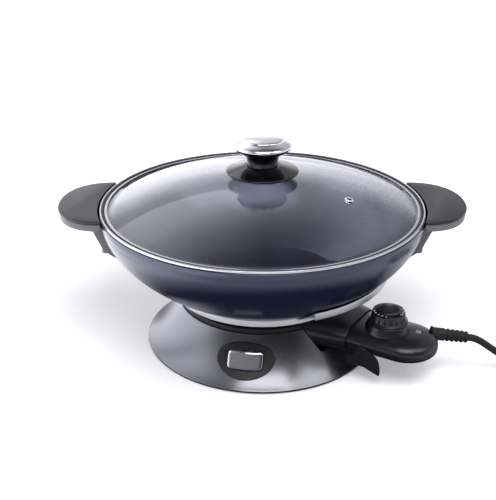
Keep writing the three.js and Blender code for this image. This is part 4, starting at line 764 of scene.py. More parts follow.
def probe_form(inset=0.0, levels=28, end_steps=28):
    """The probe's outside, moved inwards by an inset: a flat nose and a round end."""
    probe = bpy.context.scene.wok_probe
    end_centre = probe.end - probe.half_width
    nose = probe.nose + inset
    rings = []
    for level in range(levels + 1):
        angle = math.radians(87) * (2 * level / levels - 1)
        sine = math.sin(angle)
        height = (probe.crown if sine > 0 else probe.belly) - inset
        half = (probe.half_width - inset) * math.cos(angle) ** (2 / SECTION_POWER)
        z = probe.middle + math.copysign(height * abs(sine) ** (2 / SECTION_POWER), sine)
        ring = [(nose, -half, z)]
        for step in range(end_steps + 1):
            turn = math.pi * (step / end_steps - 0.5)
            ring.append((end_centre + half * math.cos(turn), half * math.sin(turn), z))
        ring.append((nose, half, z))
        rings.append(ring)
    return bridged(rings)


# Cord route: the points of the free stretches are measured in millimetres from the strain relief's tip,
# and their heights from the table

STRAIN_ROOT = Vector((173.970, -78.982, 43.4)) * MM
STRAIN_TIP = Vector((211.770, -78.982, 38.6)) * MM
LEAD_POINTS = (
    (0.3, 0, 38.56), (7.7, 0, 37), (15.2, -0.2, 33.4), (24.2, -0.5, 27.2), (34.2, -0.6, 20),
    (45.2, -0.2, 13.2), (57.2, 1.1, 7.7), (69.2, 3.2, 4.7), (81.2, 5.6, 3.95), (93.2, 7.9, 3.95),
    (104.2, 9.6, 3.95), (115.2, 10.7, 3.95),
)
TAIL_POINTS = (
    (171.9, 63, 13.15), (171.9, 66.8, 13.15), (171.9, 76, 12), (171.6, 85, 9.4), (170.2, 95, 6.4),
    (166.8, 105, 4.6), (160.6, 114.4, 4.6), (152.6, 121.6, 6.4), (144.8, 126.4, 9.4), (137.8, 128.8, 12),
    (134, 129, 12.5), (130.2, 129, 12.5), (126.5, 129, 12.5),
)
COIL_CENTRE = Vector((126.2, 59.0)) * MM
COIL_TURNS_IN = 2.0
COIL_TURNS_CLIMBING = 0.5
COIL_TURNS_OUT = 1.75
COIL_FLOOR_GAP = 0.2 * MM
COIL_STEPS = 32
PLUG_START = Vector((126.2, 129.0, 12.5)) * MM


def from_tip(x, y, z):
    """A point given across the table from the strain relief's tip, and upwards from the table."""
    return Vector((STRAIN_TIP.x + x, STRAIN_TIP.y + y, z))


def coil_points():
    """The coil winds in on the table, climbs a layer while it turns back, and winds out on top."""
    cord = bpy.context.scene.wok_cord
    turns = COIL_TURNS_IN + COIL_TURNS_CLIMBING + COIL_TURNS_OUT
    count = round(turns * COIL_STEPS)
    inner = cord.coil_radius - cord.coil_pitch * COIL_TURNS_IN
    low = cord.diameter / 2 + COIL_FLOOR_GAP
    points = []
    for step in range(count + 1):
        at = turns * step / count
        gone_out = max(at - COIL_TURNS_IN - COIL_TURNS_CLIMBING, 0.0)
        climb = min(max((at - COIL_TURNS_IN) / COIL_TURNS_CLIMBING, 0.0), 1.0)
        radius = inner + cord.coil_pitch * gone_out
        if at < COIL_TURNS_IN:
            radius = cord.coil_radius - cord.coil_pitch * at
        angle = at * FULL_TURN - math.pi / 2
        x = COIL_CENTRE.x + radius * math.cos(angle)
        y = COIL_CENTRE.y + radius * math.sin(angle)
        points.append(from_tip(x, y, low + cord.coil_pitch * climb**2 * (3 - 2 * climb)))
    return points


def cord_route():
    """The cord's middle line from the strain relief to the plug."""
    lead = [from_tip(*(Vector(point) * MM)) for point in LEAD_POINTS]
    tail = [from_tip(*(Vector(point) * MM)) for point in TAIL_POINTS]
    coil = coil_points()
    start = splined([*lead, coil[0], coil[1]], 6)
    start = [point for point in start if (point - coil[0]).length > 1 * MM]
    end = splined([coil[-2], coil[-1], *tail], 6)
    lead_line = start[: 6 * len(lead)]
    return [*lead_line, *coil, *end[7:]]


def along(start, end):
    """The place of a shape turned about Z, laid from one point towards another."""
    lie = (end - start).to_track_quat("Z", "Y").to_matrix().to_4x4()
    return Matrix.Translation(start) @ lie


# Tables of corners: distance from the axis or a given radius, height, and rounding, in millimetres

LID_BAND = (
    (-5.5, -15.4, 0.4), (-4.3, -15.4, 0.4), (-4.3, -2.4, 0.3), (0, -2.4, 0.5), (0, 0, 0.9), (-1.7, 0, 0.6),
    (-1.9, -1.9, 0.1), (-4.7, -1.9, 0.1), (-4.9, -1.1, 0.2), (-7.6, -1.1, 0.4), (-7.6, -2.1, 0.4),
    (-5.5, -2.1, 0.3), (-5.5, -6, 0), (-8, -6, 0.3), (-8, -7, 0.3), (-5.5, -7, 0.3),
)
# Section of a black strip in the band's groove: painted shade for the dark line round the rim.
RIM_SHADE_STRIP = ((-4.6, -1.85, 0), (-2, -1.85, 0), (-2, -0.4, 0.3), (-4.6, -0.4, 0.3))
KNOB_SKIRT = (
    (2.7, 0, 0), (24, 0, 0.6), (31, 1.2, 3), (36.8, 4, 1), (38.1, 5.3, 0.8), (38.1, 6.6, 0.9),
    (33, 8.1, 4), (19, 12.4, 1.2), (2.7, 12.4, 0),
)
EYELET = ((2.4, -5, 0.3), (4.6, -5, 0.3), (4.6, -4, 0.2), (3.1, -4, 0), (3.1, 0, 0), (4.6, 0, 0.3),
          (3.9, 1, 0.4), (2.4, 1, 0.3))
FOOT = ((0, 0, 0), (9, 0, 0.4), (9, 0.9, 0.4), (3.4, 0.9, 0), (3.4, 5.9, 0.4), (0, 5.9, 0))
PEDESTAL = ((3.3, 38.3, 0), (24, 38.3, 0), (24, 47.6, 2), (20.6, 57.4, 0.8), (3.3, 57.4, 0))
DIAL = ((3.3, 0, 0), (20.2, 0, 0.3), (20.2, 1.6, 0.6), (18.2, 2.5, 0.6), (16.9, 10.6, 0.9), (3.3, 10.6, 0))
SCALE_RING = ((13.4, 0.3, 0), (16.4, 0.3, 0), (16.4, 1.1, 0.4), (13.4, 1.1, 0.2))
CROWN = ((0, 0.3, 0), (13, 0.3, 0.2), (13, 2.4, 1), (11.2, 3.7, 2), (6.5, 4.4, 3), (0, 4.5, 0))
LENS = ((0, -5.4, 0), (3.6, -5.4, 0), (3.6, -1.6, 1), (2.6, -0.5, 1.2), (0, 0, 0))
LEVER = (
    (-4.2, 2.1, 1.2), (-4.2, -2.1, 1.2), (-3, -5.7, 1), (6, -5.7, 1), (16.2, -5.25, 4), (20.4, -7.05, 3),
    (32.4, -11, 0.7), (32.4, -6.34, 2), (32.1, -2.1, 2.5), (30.8, 3.2, 2), (29.2, 6.3, 1.6), (26.9, 9.15, 3),
    (9.7, 17.6, 2.5), (6.2, 14.1, 2), (2.1, 4.2, 2), (-2.1, 4.2, 1.6),
)
SCREW = ((0, 0, 0), (3.6, 0, 0.7), (3.6, 2.2, 0.2), (1.9, 2.2, 0), (1.9, 17, 0.6), (0, 17, 0))


class BuildOperator(bpy.types.Operator):
    """Builds a group of pieces."""

    bl_options = {"REGISTER"}

    def execute(self, context):
        self.build(context.scene)
        return {"FINISHED"}


class WOK_OT_camera(BuildOperator):
    """Places the camera as the photograph was taken"""

    bl_idname = "wok.camera"
    bl_label = "Camera"

    sensor_height = 36.0
    focal_length = 61.56
    farthest = 50.0
    stands_at = (-0.015, -0.846, 0.491)
    tilt = math.radians(65.28)

    def build(self, scene):
        data = bpy.data.cameras.new("Camera")
        data.sensor_fit = "VERTICAL"
        data.sensor_height = self.sensor_height
        data.lens = self.focal_length
        data.clip_end = self.farthest
        camera = bpy.data.objects.new("Camera", data)
        camera.location = self.stands_at
        camera.rotation_euler = (self.tilt, 0.0, 0.0)
        scene.collection.objects.link(camera)
        scene.camera = camera


class WOK_OT_cord(BuildOperator):
    """Builds the mains cord, its strain relief, tie and plug"""

    bl_idname = "wok.cord"
    bl_label = "Mains cord"

    blades = {
        "live": (-7.9, 3.6, -30),
        "neutral": (7.9, 3.6, 30),
        "earth": (0.0, -6.2, 90),
    }

    def build(self, scene):
        size = scene.wok_cord
        route = cord_route()
        curve = bpy.data.curves.new("mains_cord", "CURVE")
        curve.dimensions = "3D"
        curve.bevel_depth = size.diameter / 2
        curve.bevel_resolution = 4
        curve.use_fill_caps = True
        spline = curve.splines.new("POLY")
        spline.points.add(len(route) - 1)
        for point, place in zip(spline.points, route):
            point.co = (*place, 1.0)
        spline.use_smooth = True
        curve.materials.append(finish("Rubber"))
        cord = bpy.data.objects.new("mains_cord", curve)
        scene.collection.objects.link(cord)
        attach(cord, "probe")
        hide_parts("cord_lead", "cord_coil", "cord_tail")
        self.strain_relief()
        tie = self.tie(size)
        plug = self.plug()
        blades = [self.blade(name, *place) for name, place in self.blades.items()]

    def strain_relief(self):
        """A collar, a plain root and five soft ribs that get thinner towards the tip."""
        reach = (STRAIN_TIP - STRAIN_ROOT).length / MM
        root, narrowing, count = 6.6, 0.6, 5
        groove = ((0, 0), (0.12, 0.85), (0.3, 1), (0.48, 0.85), (0.6, 0), (0.8, 0.03))
        outline = [(0, 0), (7.4, 0), (7.4, 1), (root, 2)]
        start = reach * 0.36
        pitch = (reach - start) / count
        for rib in range(count):
            radius = root - narrowing * rib / count
            outline += [(radius - cut, start + pitch * (rib + share)) for share, cut in groove]
        outline += [(root - narrowing, reach - 0.8), (5.2, reach), (0, reach)]
        bm = spun([mm(*point) for point in outline], 40, closed=False)
        transformed(bm, along(STRAIN_ROOT, STRAIN_TIP))
        piece("ribbed_strain_relief", bm, "probe", "Rubber", ["strain_relief"], sharp=50)

    def tie(self, size):
        """A flat band round all turns of the coil, on its far side; its section is in millimetres."""
        half = size.tie_width / 2
        near, far, bottom, top = 25.4, 47.6, 0.1, 17.0
        corner = 4.0
        thickness = 1.1
        floor_gap = 0.02
        corners = ((near, bottom), (far, bottom), (far, top), (near, top))
        outline = rounded([(x, z, corner) for x, z in corners], 6)
        middle = Vector(((near + far) / 2, (bottom + top) / 2))
        centre = from_tip(COIL_CENTRE.x, COIL_CENTRE.y, 0.0)
        rings = []
        for growth, across in ((0, -half), (0, half), (thickness, half), (thickness, -half)):
            ring = []
            for point in outline:
                spot = point + (point - middle).normalized() * growth
                ring.append((centre.x + across, centre.y + spot.x * MM, max(spot.y, floor_gap) * MM))
            rings.append(ring)
        return piece("cord_tie", bridged(rings, looped=True), "probe", "Inner plastic")

    def plug(self):
        """A moulded plug body with a waist to hold it by."""
        half_width, half_height, corner, round_end = 13.5, 12, 8, 13
        section = oblong(half_width, half_height, corner, 8)
        levels = (
            (0.42, 0, 1), (0.46, 0.6, 1), (0.46, 5, 1), (0.62, 7.4, 0.6), (0.86, 9.6, 0), (0.97, 12, 0),
            (1, 15, 0), (0.93, 19, 0), (0.93, 23, 0), (1, 27, 0), (1, 29.6, 0), (0.97, 30.6, 0),
            (0.92, 31, 0),
        )
        rings = []
        for scale, reach, roundness in levels:
            ring = []
            for point in section:
                disc = point.normalized() * round_end * scale
                ring.append(mm(*(point * scale).lerp(disc, roundness), reach))
            rings.append(ring)
        bm = transformed(bridged(rings), self.to_plug())
        return piece("plug_moulding", bm, "probe", "Rubber", ["plug_body"], sharp=40)

    def to_plug(self):
        """From the plug's own directions to where it lies, pointing along -X."""
        start = from_tip(*PLUG_START)
        turn = Matrix.Rotation(-math.pi / 2, 4, "Z") @ Matrix.Rotation(math.pi / 2, 4, "X")
        return Matrix.Translation(start) @ turn

    def blade(self, name, x, y, degrees):
        """A flat brass blade with a rounded tip."""
        half_width, half_thickness, root, tip, edge = mm(3.15, 0.8, 15.5, 48, 0.45)
        bm = block((-half_width, -half_thickness, root), (half_width, half_thickness, tip))
        bevelled(bm, edge, 3)
        turn = Matrix.Rotation(math.radians(degrees), 4, "Z")
        transformed(bm, Matrix.Translation((x * MM, y * MM, 0.0)) @ turn)
        transformed(bm, self.to_plug())
        return piece(f"{name}_blade", bm, "probe", "Brass", [f"plug_blade_{name}"])


class WOK_OT_bowl(BuildOperator):
    """Builds the cast bowl with the boss for the sensor under it"""

    bl_idname = "wok.bowl"
    bl_label = "Bowl"

    def build(self, scene):
        size = scene.wok_bowl
        rim = size.rim_height
        bottom = size.bottom_height
        outer = size.rim_radius
        inner = outer - size.wall - 0.4 * MM
        seat = rim - 15.5 * MM
        step = 1.1 * MM
        floor = bottom + size.floor
        curve = bowl_curve(-size.wall)
        hollow = [point for point in curve if floor + 1 * MM < point[1] < seat - step - 1 * MM]
        floor_edge = hollow[0][0] - 5 * MM
        hub = 9 * MM
        drop = 19 * MM
        bore = 3.3 * MM
        bore_top = bottom - 5 * MM
        corners = [(bore, bottom - drop), (hub, bottom - drop, 0.6 * MM), (hub, bottom, 2 * MM)]
        corners += bowl_curve(0.0)[:-1]
        corners += [
            (outer - BAND_STEP, rim - size.band_height, 0.3 * MM),
            (outer, rim - size.band_height, 0.4 * MM),
            (outer, rim, 1 * MM),
            (inner, rim, 1 * MM),
            (inner, seat, 0.5 * MM),
            (inner - step, seat - step, 1 * MM),
        ]
        corners += reversed(hollow)
        corners += [(floor_edge, floor, 4 * MM), (0, floor), (0, bore_top), (bore, bore_top)]
        bm = spun(rounded(corners), 160)
        boss = block(mm(34, -9, 33), (56 * MM, 9 * MM, bottom + 2 * MM))
        bm = combined(bm, transformed(bevelled(boss, 1.2 * MM), PROBE_TURN), "UNION")
        hole = rod(bore, mm(45.7, 0, 41), mm(62, 0, 41), turn=PROBE_TURN)
        piece("bowl_casting", combined(bm, hole), "bowl", "Non-stick coat", ["wok_bowl"])


class WOK_OT_bowl_trim(BuildOperator):
    """Builds the steel ring, the heat shield and the probe's shroud under the bowl"""

    bl_idname = "wok.bowl_trim"
    bl_label = "Ring, shield and shroud"

    def build(self, scene):
        size = scene.wok_bowl
        self.ring(size)
        self.shield(size)
        self.shroud(size, scene.wok_probe)

    def ring(self, size):
        """A steel band that closes the gap between the bowl and its housing."""
        outer = size.trim_radius
        low = size.trim_bottom
        top = min(low + 7 * MM, bowl_height_at(outer, BUILD_GAP))
        inner = outer - 1.4 * MM
        flange = low + 1 * MM
        corners = [
            (HOUSING_SPACE, low, 0.3 * MM),
            (outer, low, 0.9 * MM),
            (outer, top, 0.6 * MM),
            (inner, bowl_height_at(inner, BUILD_GAP), 0.3 * MM),
            (inner, flange, 0.3 * MM),
            (HOUSING_SPACE, flange, 0.2 * MM),
        ]
        bm = spun(rounded(corners), 160)
        piece("polished_ring", bm, "bowl", "Satin steel", ["trim_ring"])

    def shield(self, size):
        """A curved leaf that follows the bowl, with its outer edge folded down."""
        inner = size.trim_radius + BUILD_GAP
        outer = size.trim_radius + size.shield_reach
        wall = 1.3 * MM
        hem = 8.1 * MM
        steps = 18
        radii = [inner + size.shield_reach * step / steps for step in range(steps + 1)]
        top = [(radius, bowl_height_at(radius, 1.6 * MM)) for radius in radii]
        hem_top = top.pop()[1]
        corners = [(radius, height - wall) for radius, height in top]
        corners += [
            (outer - wall, hem_top - wall, 0.6 * MM),
            (outer - wall, hem_top - hem, 0.5 * MM),
            (outer, hem_top - hem, 0.5 * MM),
            (outer, hem_top, 1.6 * MM),
        ]
        corners += reversed(top)
        half = math.radians(38)
        start = PROBE_ANGLE - half
        bm = spun(rounded(corners), 48, angle=2 * half, start=start)
        piece("bowl_heat_shield", bm, "bowl", "Plain steel", ["heat_shield"])

    def shroud(self, size, probe):
        """The tunnel that the probe plugs into, with a rounded mouth."""
        belly = probe.belly + SHROUD_GROWTH
        mouth = size.shroud_mouth

        def section(x, inset):
            swell = shroud_swell(x)
            half = probe.half_width + SHROUD_GROWTH + SHROUD_FLARE * swell
            crown = probe.crown + SHROUD_GROWTH + SHROUD_FLARE_RISE * swell
            return [(x, y, z) for y, z in arch(half, crown, belly, probe.middle, inset)]

        lip = ((-1.2, 0), (-0.4, 0.12), (-0.1, 0.4), (0, 0.8))
        throat = ((-0.6, 1.8), (0.2, 1.3), (4, 1.3))
        outer = [section(mouth + x * MM, inset * MM) for x, inset in lip]
        inner = [section(mouth + x * MM, inset * MM) for x, inset in throat]
        outer = bridged([section(SHROUD_START, 0.0), *outer])
        inner = bridged([section(SHROUD_START - 4 * MM, 1.8 * MM), *inner])
        bm = transformed(combined(outer, inner), PROBE_TURN)
        bm = combined(bm, rod(HOUSING_SPACE, (0, 0, 0), (0, 0, size.bottom_height), 160))
        piece("probe_tunnel", bm, "bowl", "Dark plastic", ["probe_shroud"])


class WOK_OT_grips(BuildOperator):
    """Builds the two side grips with their brackets and screws"""

    bl_idname = "wok.grips"
    bl_label = "Grips"

    boss_x = 164.6 * MM
    boss_y = 24 * MM
    boss_bottom = 110.8 * MM
    boss_radius = 5 * MM
    boss_height = 20 * MM
    lid_space = 172.8 * MM
    plate_edge = 0.9 * MM
    body_inset = 0.9 * MM
    body_edge = 1.6 * MM
    arm_half_width = 30 * MM
    arm_edge = 1.5 * MM

    def build(self, scene):
        size = scene.wok_grips
        bowl = scene.wok_bowl
        split = size.top - size.plate
        low = split - BUILD_GAP - size.body
        for hand, turn in (("right", 0.0), ("left", math.pi)):
            lie = Matrix.Rotation(turn, 4, "Z")
            plate = self.pad(size, 0.0, split, size.top, self.plate_edge)
            body = self.pad(size, self.body_inset, low, split - BUILD_GAP, self.body_edge)
            arm = self.bracket(bowl, low - BUILD_GAP)
            made = (
                ("plate", "top", plate, "Grip plastic", "black_plastic"),
                ("underside", "body", body, "Grip side", "black_plastic"),
                ("arm", "bracket", arm, "Grip side", "inner_plastic"),
                ("screw_1", "screw_1", self.screw(-1), "Plain steel", "steel"),
                ("screw_2", "screw_2", self.screw(1), "Plain steel", "steel"),
            )
            for name, ending, bm, look, slot in made:
                replaced = [f"{hand}_grip_{ending}"]
                piece(f"{hand}_{name}", transformed(bm, lie), "bowl", look, replaced)

    def pad(self, size, inset, low, high, edge):
        """A flat pad with a rounded outer outline and a hollow inner side that follows the lid."""
        clear = self.lid_space
        half = size.half_width - inset
        reach = size.tip - size.centre - inset
        inner = math.sqrt(clear**2 - half**2)
        outline = [(inner, -half)]
        steps = 56
        for step in range(steps + 1):
            angle = math.pi * (step / steps - 0.5)
            x = size.centre + reach * abs(math.cos(angle)) ** (2 / PAD_POWER)
            y = math.copysign(half * abs(math.sin(angle)) ** (2 / PAD_POWER), math.sin(angle))
            outline.append((x, y))
        outline.append((inner, half))
        widest = math.asin(half / clear)
        for step in range(1, 40):
            angle = widest * (1 - step / 20)
            outline.append(round_place(clear, angle))
        return bevelled(extruded(outline, low, high), edge, 4, 40)

    def bracket(self, bowl, top):
        """The arm between the bowl and the grip, with two screw bosses."""
        reach = bowl.rim_radius + 13.3 * MM
        drop = 42 * MM
        profile = [
            (reach, top),
            (reach - 30 * MM, top),
            (reach - 45 * MM, top - drop),
            (self.boss_x - 10 * MM, top - drop),
            (self.boss_x + 2.5 * MM, top - 0.8 * drop),
            (self.boss_x + 8 * MM, top - 0.5 * drop),
            (reach - 7 * MM, top - 0.24 * drop),
        ]
        bm = extruded(profile, -self.arm_half_width, self.arm_half_width)
        transformed(bm, Matrix.Rotation(math.pi / 2, 4, "X"))
        bevelled(bm, self.arm_edge, 3)
        boss_top = self.boss_bottom + self.boss_height
        for side in (-1, 1):
            x, y = self.boss_x, side * self.boss_y
            boss = rod(self.boss_radius, (x, y, self.boss_bottom), (x, y, boss_top), 40)
            bm = combined(bm, bevelled(boss, 0.4 * MM, 2), "UNION")
        bm = combined(bm, bowl_filled(0.4 * MM))
        low = self.boss_bottom - 4 * MM
        for side in (-1, 1):
            x, y = self.boss_x, side * self.boss_y
            for radius, depth in (mm(3.9, 2.5), mm(2.2, 17.3)):
                bm = combined(bm, rod(radius, (x, y, low), (x, y, self.boss_bottom + depth)))
        return bm

    def screw(self, side):
        """A screw with a cross recess, its head downwards."""
        bm = spun(drawn(SCREW), 32, closed=False)
        for turn in (0.0, math.pi / 2):
            slot = block(mm(-2, -0.4, -1), mm(2, 0.4, 1.3))
            transformed(slot, Matrix.Rotation(turn + 0.4 * side, 4, "Z"))
            bm = combined(bm, slot)
        place = (self.boss_x, side * self.boss_y, self.boss_bottom)
        return transformed(bm, Matrix.Translation(place))


class WOK_OT_lid(BuildOperator):
    """Builds the glass dome, its steel band and the vent"""

    bl_idname = "wok.lid"
    bl_label = "Lid"

    vent_x = 87 * MM
    vent_y = -42 * MM
    dome_inset = 8.8 * MM
    glass_inset = 5.8 * MM
    vent_clearance = 1 * MM
    eyelet_stand = 0.4 * MM
    overrun = 20 * MM

    def build(self, scene):
        size = scene.wok_lid
        band = spun(drawn(LID_BAND, size.band_radius, size.band_top), 200)
        piece("steel_rim", band, "lid", "Turned steel", ["lid_band"])
        # A black rubber strip that fills the band's groove paints the shade of the dark line round the rim.
        groove = spun(drawn(RIM_SHADE_STRIP, size.band_radius, size.band_top), 200)
        piece("rim_groove", groove, "lid", "Rubber")
        self.glass(size)
        self.eyelet(size)

    def sphere(self, size):
        """The radius of the dome's curve."""
        edge = size.band_radius - self.dome_inset
        return (edge**2 + size.glass_rise**2) / (2 * size.glass_rise)

    def dome_height(self, size, radius):
        sphere = self.sphere(size)
        return size.glass_apex - sphere + math.sqrt(sphere**2 - radius**2)

    def glass(self, size):
        """A shallow dome with a flat rim that sits in the band, and holes for the knob and the vent."""
        rim = size.band_radius - self.glass_inset
        edge = size.band_radius - self.dome_inset
        flat = size.glass_apex - size.glass_rise
        steps = 36
        radii = [edge + (SCREW_BORE - edge) * step / steps for step in range(steps + 1)]
        top = [(radius, self.dome_height(size, radius)) for radius in radii]
        corners = [(radius, height - size.glass_wall) for radius, height in reversed(top)]
        corners += [(rim, flat - size.glass_wall, 0.8 * MM), (rim, flat, 0.8 * MM), *top]
        bm = spun(rounded(corners), 200)
        low = (self.vent_x, self.vent_y, flat - self.overrun)
        high = (self.vent_x, self.vent_y, size.glass_apex + self.overrun)
        bm = combined(bm, rod(size.vent_radius + self.vent_clearance, low, high, 48))
        piece("glass_dome", bm, "lid", "Lid glass", ["lid_glass"], sharp=40)

    def eyelet(self, size):
        """A rolled steel ring through the glass, tilted to lie on the dome."""
        reach = math.hypot(self.vent_x, self.vent_y)
        height = self.dome_height(size, reach) + self.eyelet_stand
        bm = spun(drawn(EYELET), 48)
        tilt = math.asin(reach / self.sphere(size))
        lean = Matrix.Rotation(tilt, 4, Vector((-self.vent_y, self.vent_x, 0.0)))
        transformed(bm, Matrix.Translation((self.vent_x, self.vent_y, height)) @ lean)
        piece("vent_ring", bm, "lid", "Chrome", ["vent_eyelet"])


class WOK_OT_knob(BuildOperator):
    """Builds the knob's skirt, waist and chrome cap"""

    bl_idname = "wok.knob"
    bl_label = "Knob"

    skirt_height = 12.7 * MM
    waist_height = 19 * MM
    screw_depth = 14.3 * MM

    def build(self, scene):
        size = scene.wok_lid
        base = size.knob_base
        skirt = spun(drawn(KNOB_SKIRT, 0.0, base, 6), 128)
        piece("knob_disc", skirt, "lid", "Gloss plastic", ["knob_skirt"])
        bottom = base + self.skirt_height
        self.waist(size, bottom)
        self.cap(size, bottom + self.waist_height + BUILD_GAP)

    def waist(self, size, bottom):
        """The narrow part that flares out to the cap, with the screw's bore."""
        radius = size.knob_stem
        height = self.waist_height
        top = bottom + height
        shares = ((1, 0.3), (1.05, 0.46), (1.22, 0.62), (1.55, 0.8))
        flank = [(radius * out, bottom + up * height) for out, up in shares]
        flank = splined([(radius, bottom + 0.6 * MM), *flank, (30.2 * MM, top - 0.4 * MM)], 8)
        bore_top = bottom + self.screw_depth
        outline = [(SCREW_BORE, bottom), (radius, bottom), *flank, (30.4 * MM, top)]
        outline += [(0.0, top), (0.0, bore_top), (SCREW_BORE, bore_top)]
        bm = spun(outline, 96)
        piece("knob_waist", bm, "lid", "Gloss plastic", ["knob_stem"])

    def cap(self, size, bottom):
        """The chrome cap: a swelling side, a small step and a flat dome."""
        radius = size.knob_cap
        outline = [(0.0, bottom)]
        flank = ((0.97, 0), (1, 1.3), (0.98, 3), (0.9, 4.8), (0.757, 6.6))
        dome = ((0.715, 7), (0.69, 8.4), (0.57, 9.7), (0.32, 10.7), (0, 11))
        for line in (flank, dome):
            outline += splined([(radius * share, bottom + height * MM) for share, height in line], 6)
        bm = spun(outline, 128, closed=False)
        piece("knob_top", bm, "lid", "Chrome", ["knob_cap"])


class WOK_OT_base(BuildOperator):
    """Builds the flared skirt, the collar and the feet"""

    bl_idname = "wok.base"
    bl_label = "Base"

    feet = 4
    foot_inset = 21 * MM

    def build(self, scene):
        size = scene.wok_base
        self.skirt(size)
        self.collar(size)
        for index in range(self.feet):
            angle = (index + 0.5) * FULL_TURN / self.feet
            place = round_place(size.bottom_radius - self.foot_inset, angle)
            foot = spun(drawn(FOOT), 48, closed=False)
            transformed(foot, Matrix.Translation((*place, 0.0)))
            name = f"foot_{index + 1}"
            piece(f"rubber_{name}", foot, "base", "Rubber", [name])

    def notch(self):
        """The space that the probe's shroud needs when the bowl comes down."""
        gap = 1.2 * MM
        near = 42 * MM
        mouth = bpy.context.scene.wok_bowl.shroud_mouth
        far = 127 * MM
        low = 25.4 * MM - gap / 2
        high = 63.3 * MM
        half = 35.5 * MM + gap
        wide = half + SHROUD_FLARE * shroud_swell(near)
        outline = [(near, -wide), (mouth, -half), (far, -half), (far, half), (mouth, half), (near, wide)]
        return transformed(extruded(outline, low, high), PROBE_TURN)

    def skirt(self, size):
        """A flared shell with an inward lip at its top, cut for the probe and the button."""
        outer = skirt_curve()
        foot = (size.bottom_radius, size.stand)
        inner = moved_sideways([foot, *outer], -size.wall)
        hole = 88.4 * MM
        lip = size.top_height - size.wall
        corners = [(*foot, 0.5 * MM), (*outer[0], 0.6 * MM), *outer[1:-1]]
        corners += [(*outer[-1], 0.5 * MM), (hole, size.top_height, 0.3 * MM), (hole, lip, 0.2 * MM)]
        below = [point for point in inner if size.stand + 1 * MM < point[1] < lip - 1 * MM]
        corners += [(below[-1][0] - 1.2 * MM, lip), *reversed(below)]
        corners += [(size.bottom_radius - size.wall, size.stand, 0.4 * MM)]
        bm = combined(spun(rounded(corners), 192), self.notch())
        bm = combined(bm, self.window(size))
        piece("flared_skirt", bm, "base", "Satin paint", ["base_skirt"])

    def window(self, size):
        """The straight hole that the button slides in."""
        width = size.button_width / 2 + BUTTON_CLEARANCE
        height = size.button_height / 2 + BUTTON_CLEARANCE
        near = 90 * MM
        far = 127 * MM
        bm = extruded(oblong(height, width, BUTTON_CORNER + BUTTON_CLEARANCE, 6), near, far)
        middle = skirt_point(BADGE_SHARE)[1]
        lie = Matrix.Translation((0.0, 0.0, middle)) @ Matrix.Rotation(math.pi / 2, 4, "Y")
        return transformed(bm, LATCH_TURN @ lie)

    def collar(self, size):
        """The cup that the bowl's housing stands in, with its rim over the skirt's lip."""
        radius = size.collar_radius
        top = size.collar_top
        wall_outer = 88.1 * MM
        bore = 85.5 * MM
        seat = size.top_height + BUILD_GAP
        step = radius - 0.5 * MM
        low = 20 * MM
        floor = 23 * MM
        corners = [
            (0, low),
            (wall_outer, low, 0.8 * MM),
            (wall_outer, seat),
            (radius, seat, 0.4 * MM),
            (radius, top - 2.1 * MM, 0.2 * MM),
            (step, top - 1.8 * MM, 0.2 * MM),
            (step, top, 0.8 * MM),
            (bore, top, 0.6 * MM),
            (bore, floor, 1 * MM),
            (0, floor),
        ]
        bm = combined(spun(rounded(corners), 160, closed=False), self.notch())
        slot = block(mm(61.2, -10.2, 16), mm(74.2, 10.2, 27), LATCH_TURN)
        bm = combined(bm, slot)
        piece("cradle_collar", bm, "base", "Grip plastic", ["base_cradle"])


class WOK_OT_release(BuildOperator):
    """Builds the chrome release button and the oval plate round it"""

    bl_idname = "wok.release"
    bl_label = "Release button"

    side_step = 1.5 * MM
    button_back = 93.5 * MM

    def build(self, scene):
        size = scene.wok_base
        self.plate(size)
        self.button(size)

    def outline(self, width, height, corner):
        """A rounded oblong with its sides divided, as (across, up)."""
        corners = oblong(width / 2, height / 2, corner, 8)
        points = []
        for index, point in enumerate(corners):
            after = corners[(index + 1) % len(corners)]
            count = max(1, round((after - point).length / self.side_step))
            for step in range(count):
                points.append(point.lerp(after, step / count))
        return points

    def plate(self, size):
        """A thin oval plate that follows the skirt, with a hole for the button."""
        width = size.button_width + 2 * BUTTON_CLEARANCE
        height = size.button_height + 2 * BUTTON_CLEARANCE
        hole = self.outline(width, height, BUTTON_CORNER + BUTTON_CLEARANCE)
        middle = skirt_point(BADGE_SHARE)[1]
        oval = []
        for point in hole:
            angle = math.atan2(point.y / height, point.x / width)
            oval.append(Vector((
                size.badge_width / 2 * math.cos(angle),
                size.badge_height / 2 * math.sin(skirt_slope()) * math.sin(angle),
            )))

        def layer(share, gap):
            ring = []
            for inner, outer in zip(hole, oval):
                spot = inner.lerp(outer, share)
                ring.append(skirt_face(spot.x, middle + spot.y, gap * MM))
            return ring

        levels = [(0, 0.3), (0.3, 0.3), (0.7, 0.3), (1, 0.3), (1, 0.9), (0.985, 1.3), (0.95, 1.5)]
        levels += [(0.85, 1.5), (0.7, 1.5), (0.5, 1.5), (0.3, 1.5), (0.12, 1.45), (0.03, 1.2), (0, 0.9)]
        bm = bridged([layer(share, gap) for share, gap in levels], looped=True)
        transformed(bm, LATCH_TURN)
        piece("button_surround", bm, "base", "Grip plastic", ["badge_plate"], sharp=40)

    def button(self, size):
        """A pillowed button that follows the skirt's face."""
        edge = self.outline(size.button_width, size.button_height, BUTTON_CORNER)
        middle = skirt_point(BADGE_SHARE)[1]
        rings = [[Vector((self.button_back, point.x, middle + point.y)) for point in edge]]
        levels = ((1, 0.6), (1, 1.1), (0.985, 1.55), (0.95, 1.85), (0.88, 2.05), (0.75, 2.15), (0.5, 2.2))
        for share, gap in levels:
            ring = []
            for point in edge:
                inset = (1 - share) * size.button_height / 2
                reach_x = 1 - inset / (size.button_width / 2)
                ring.append(skirt_face(point.x * reach_x, middle + point.y * share, gap * MM))
            rings.append(ring)
        bm = transformed(bridged(rings), LATCH_TURN)
        piece("chrome_button", bm, "latch", "Chrome", ["release_button"], sharp=40)


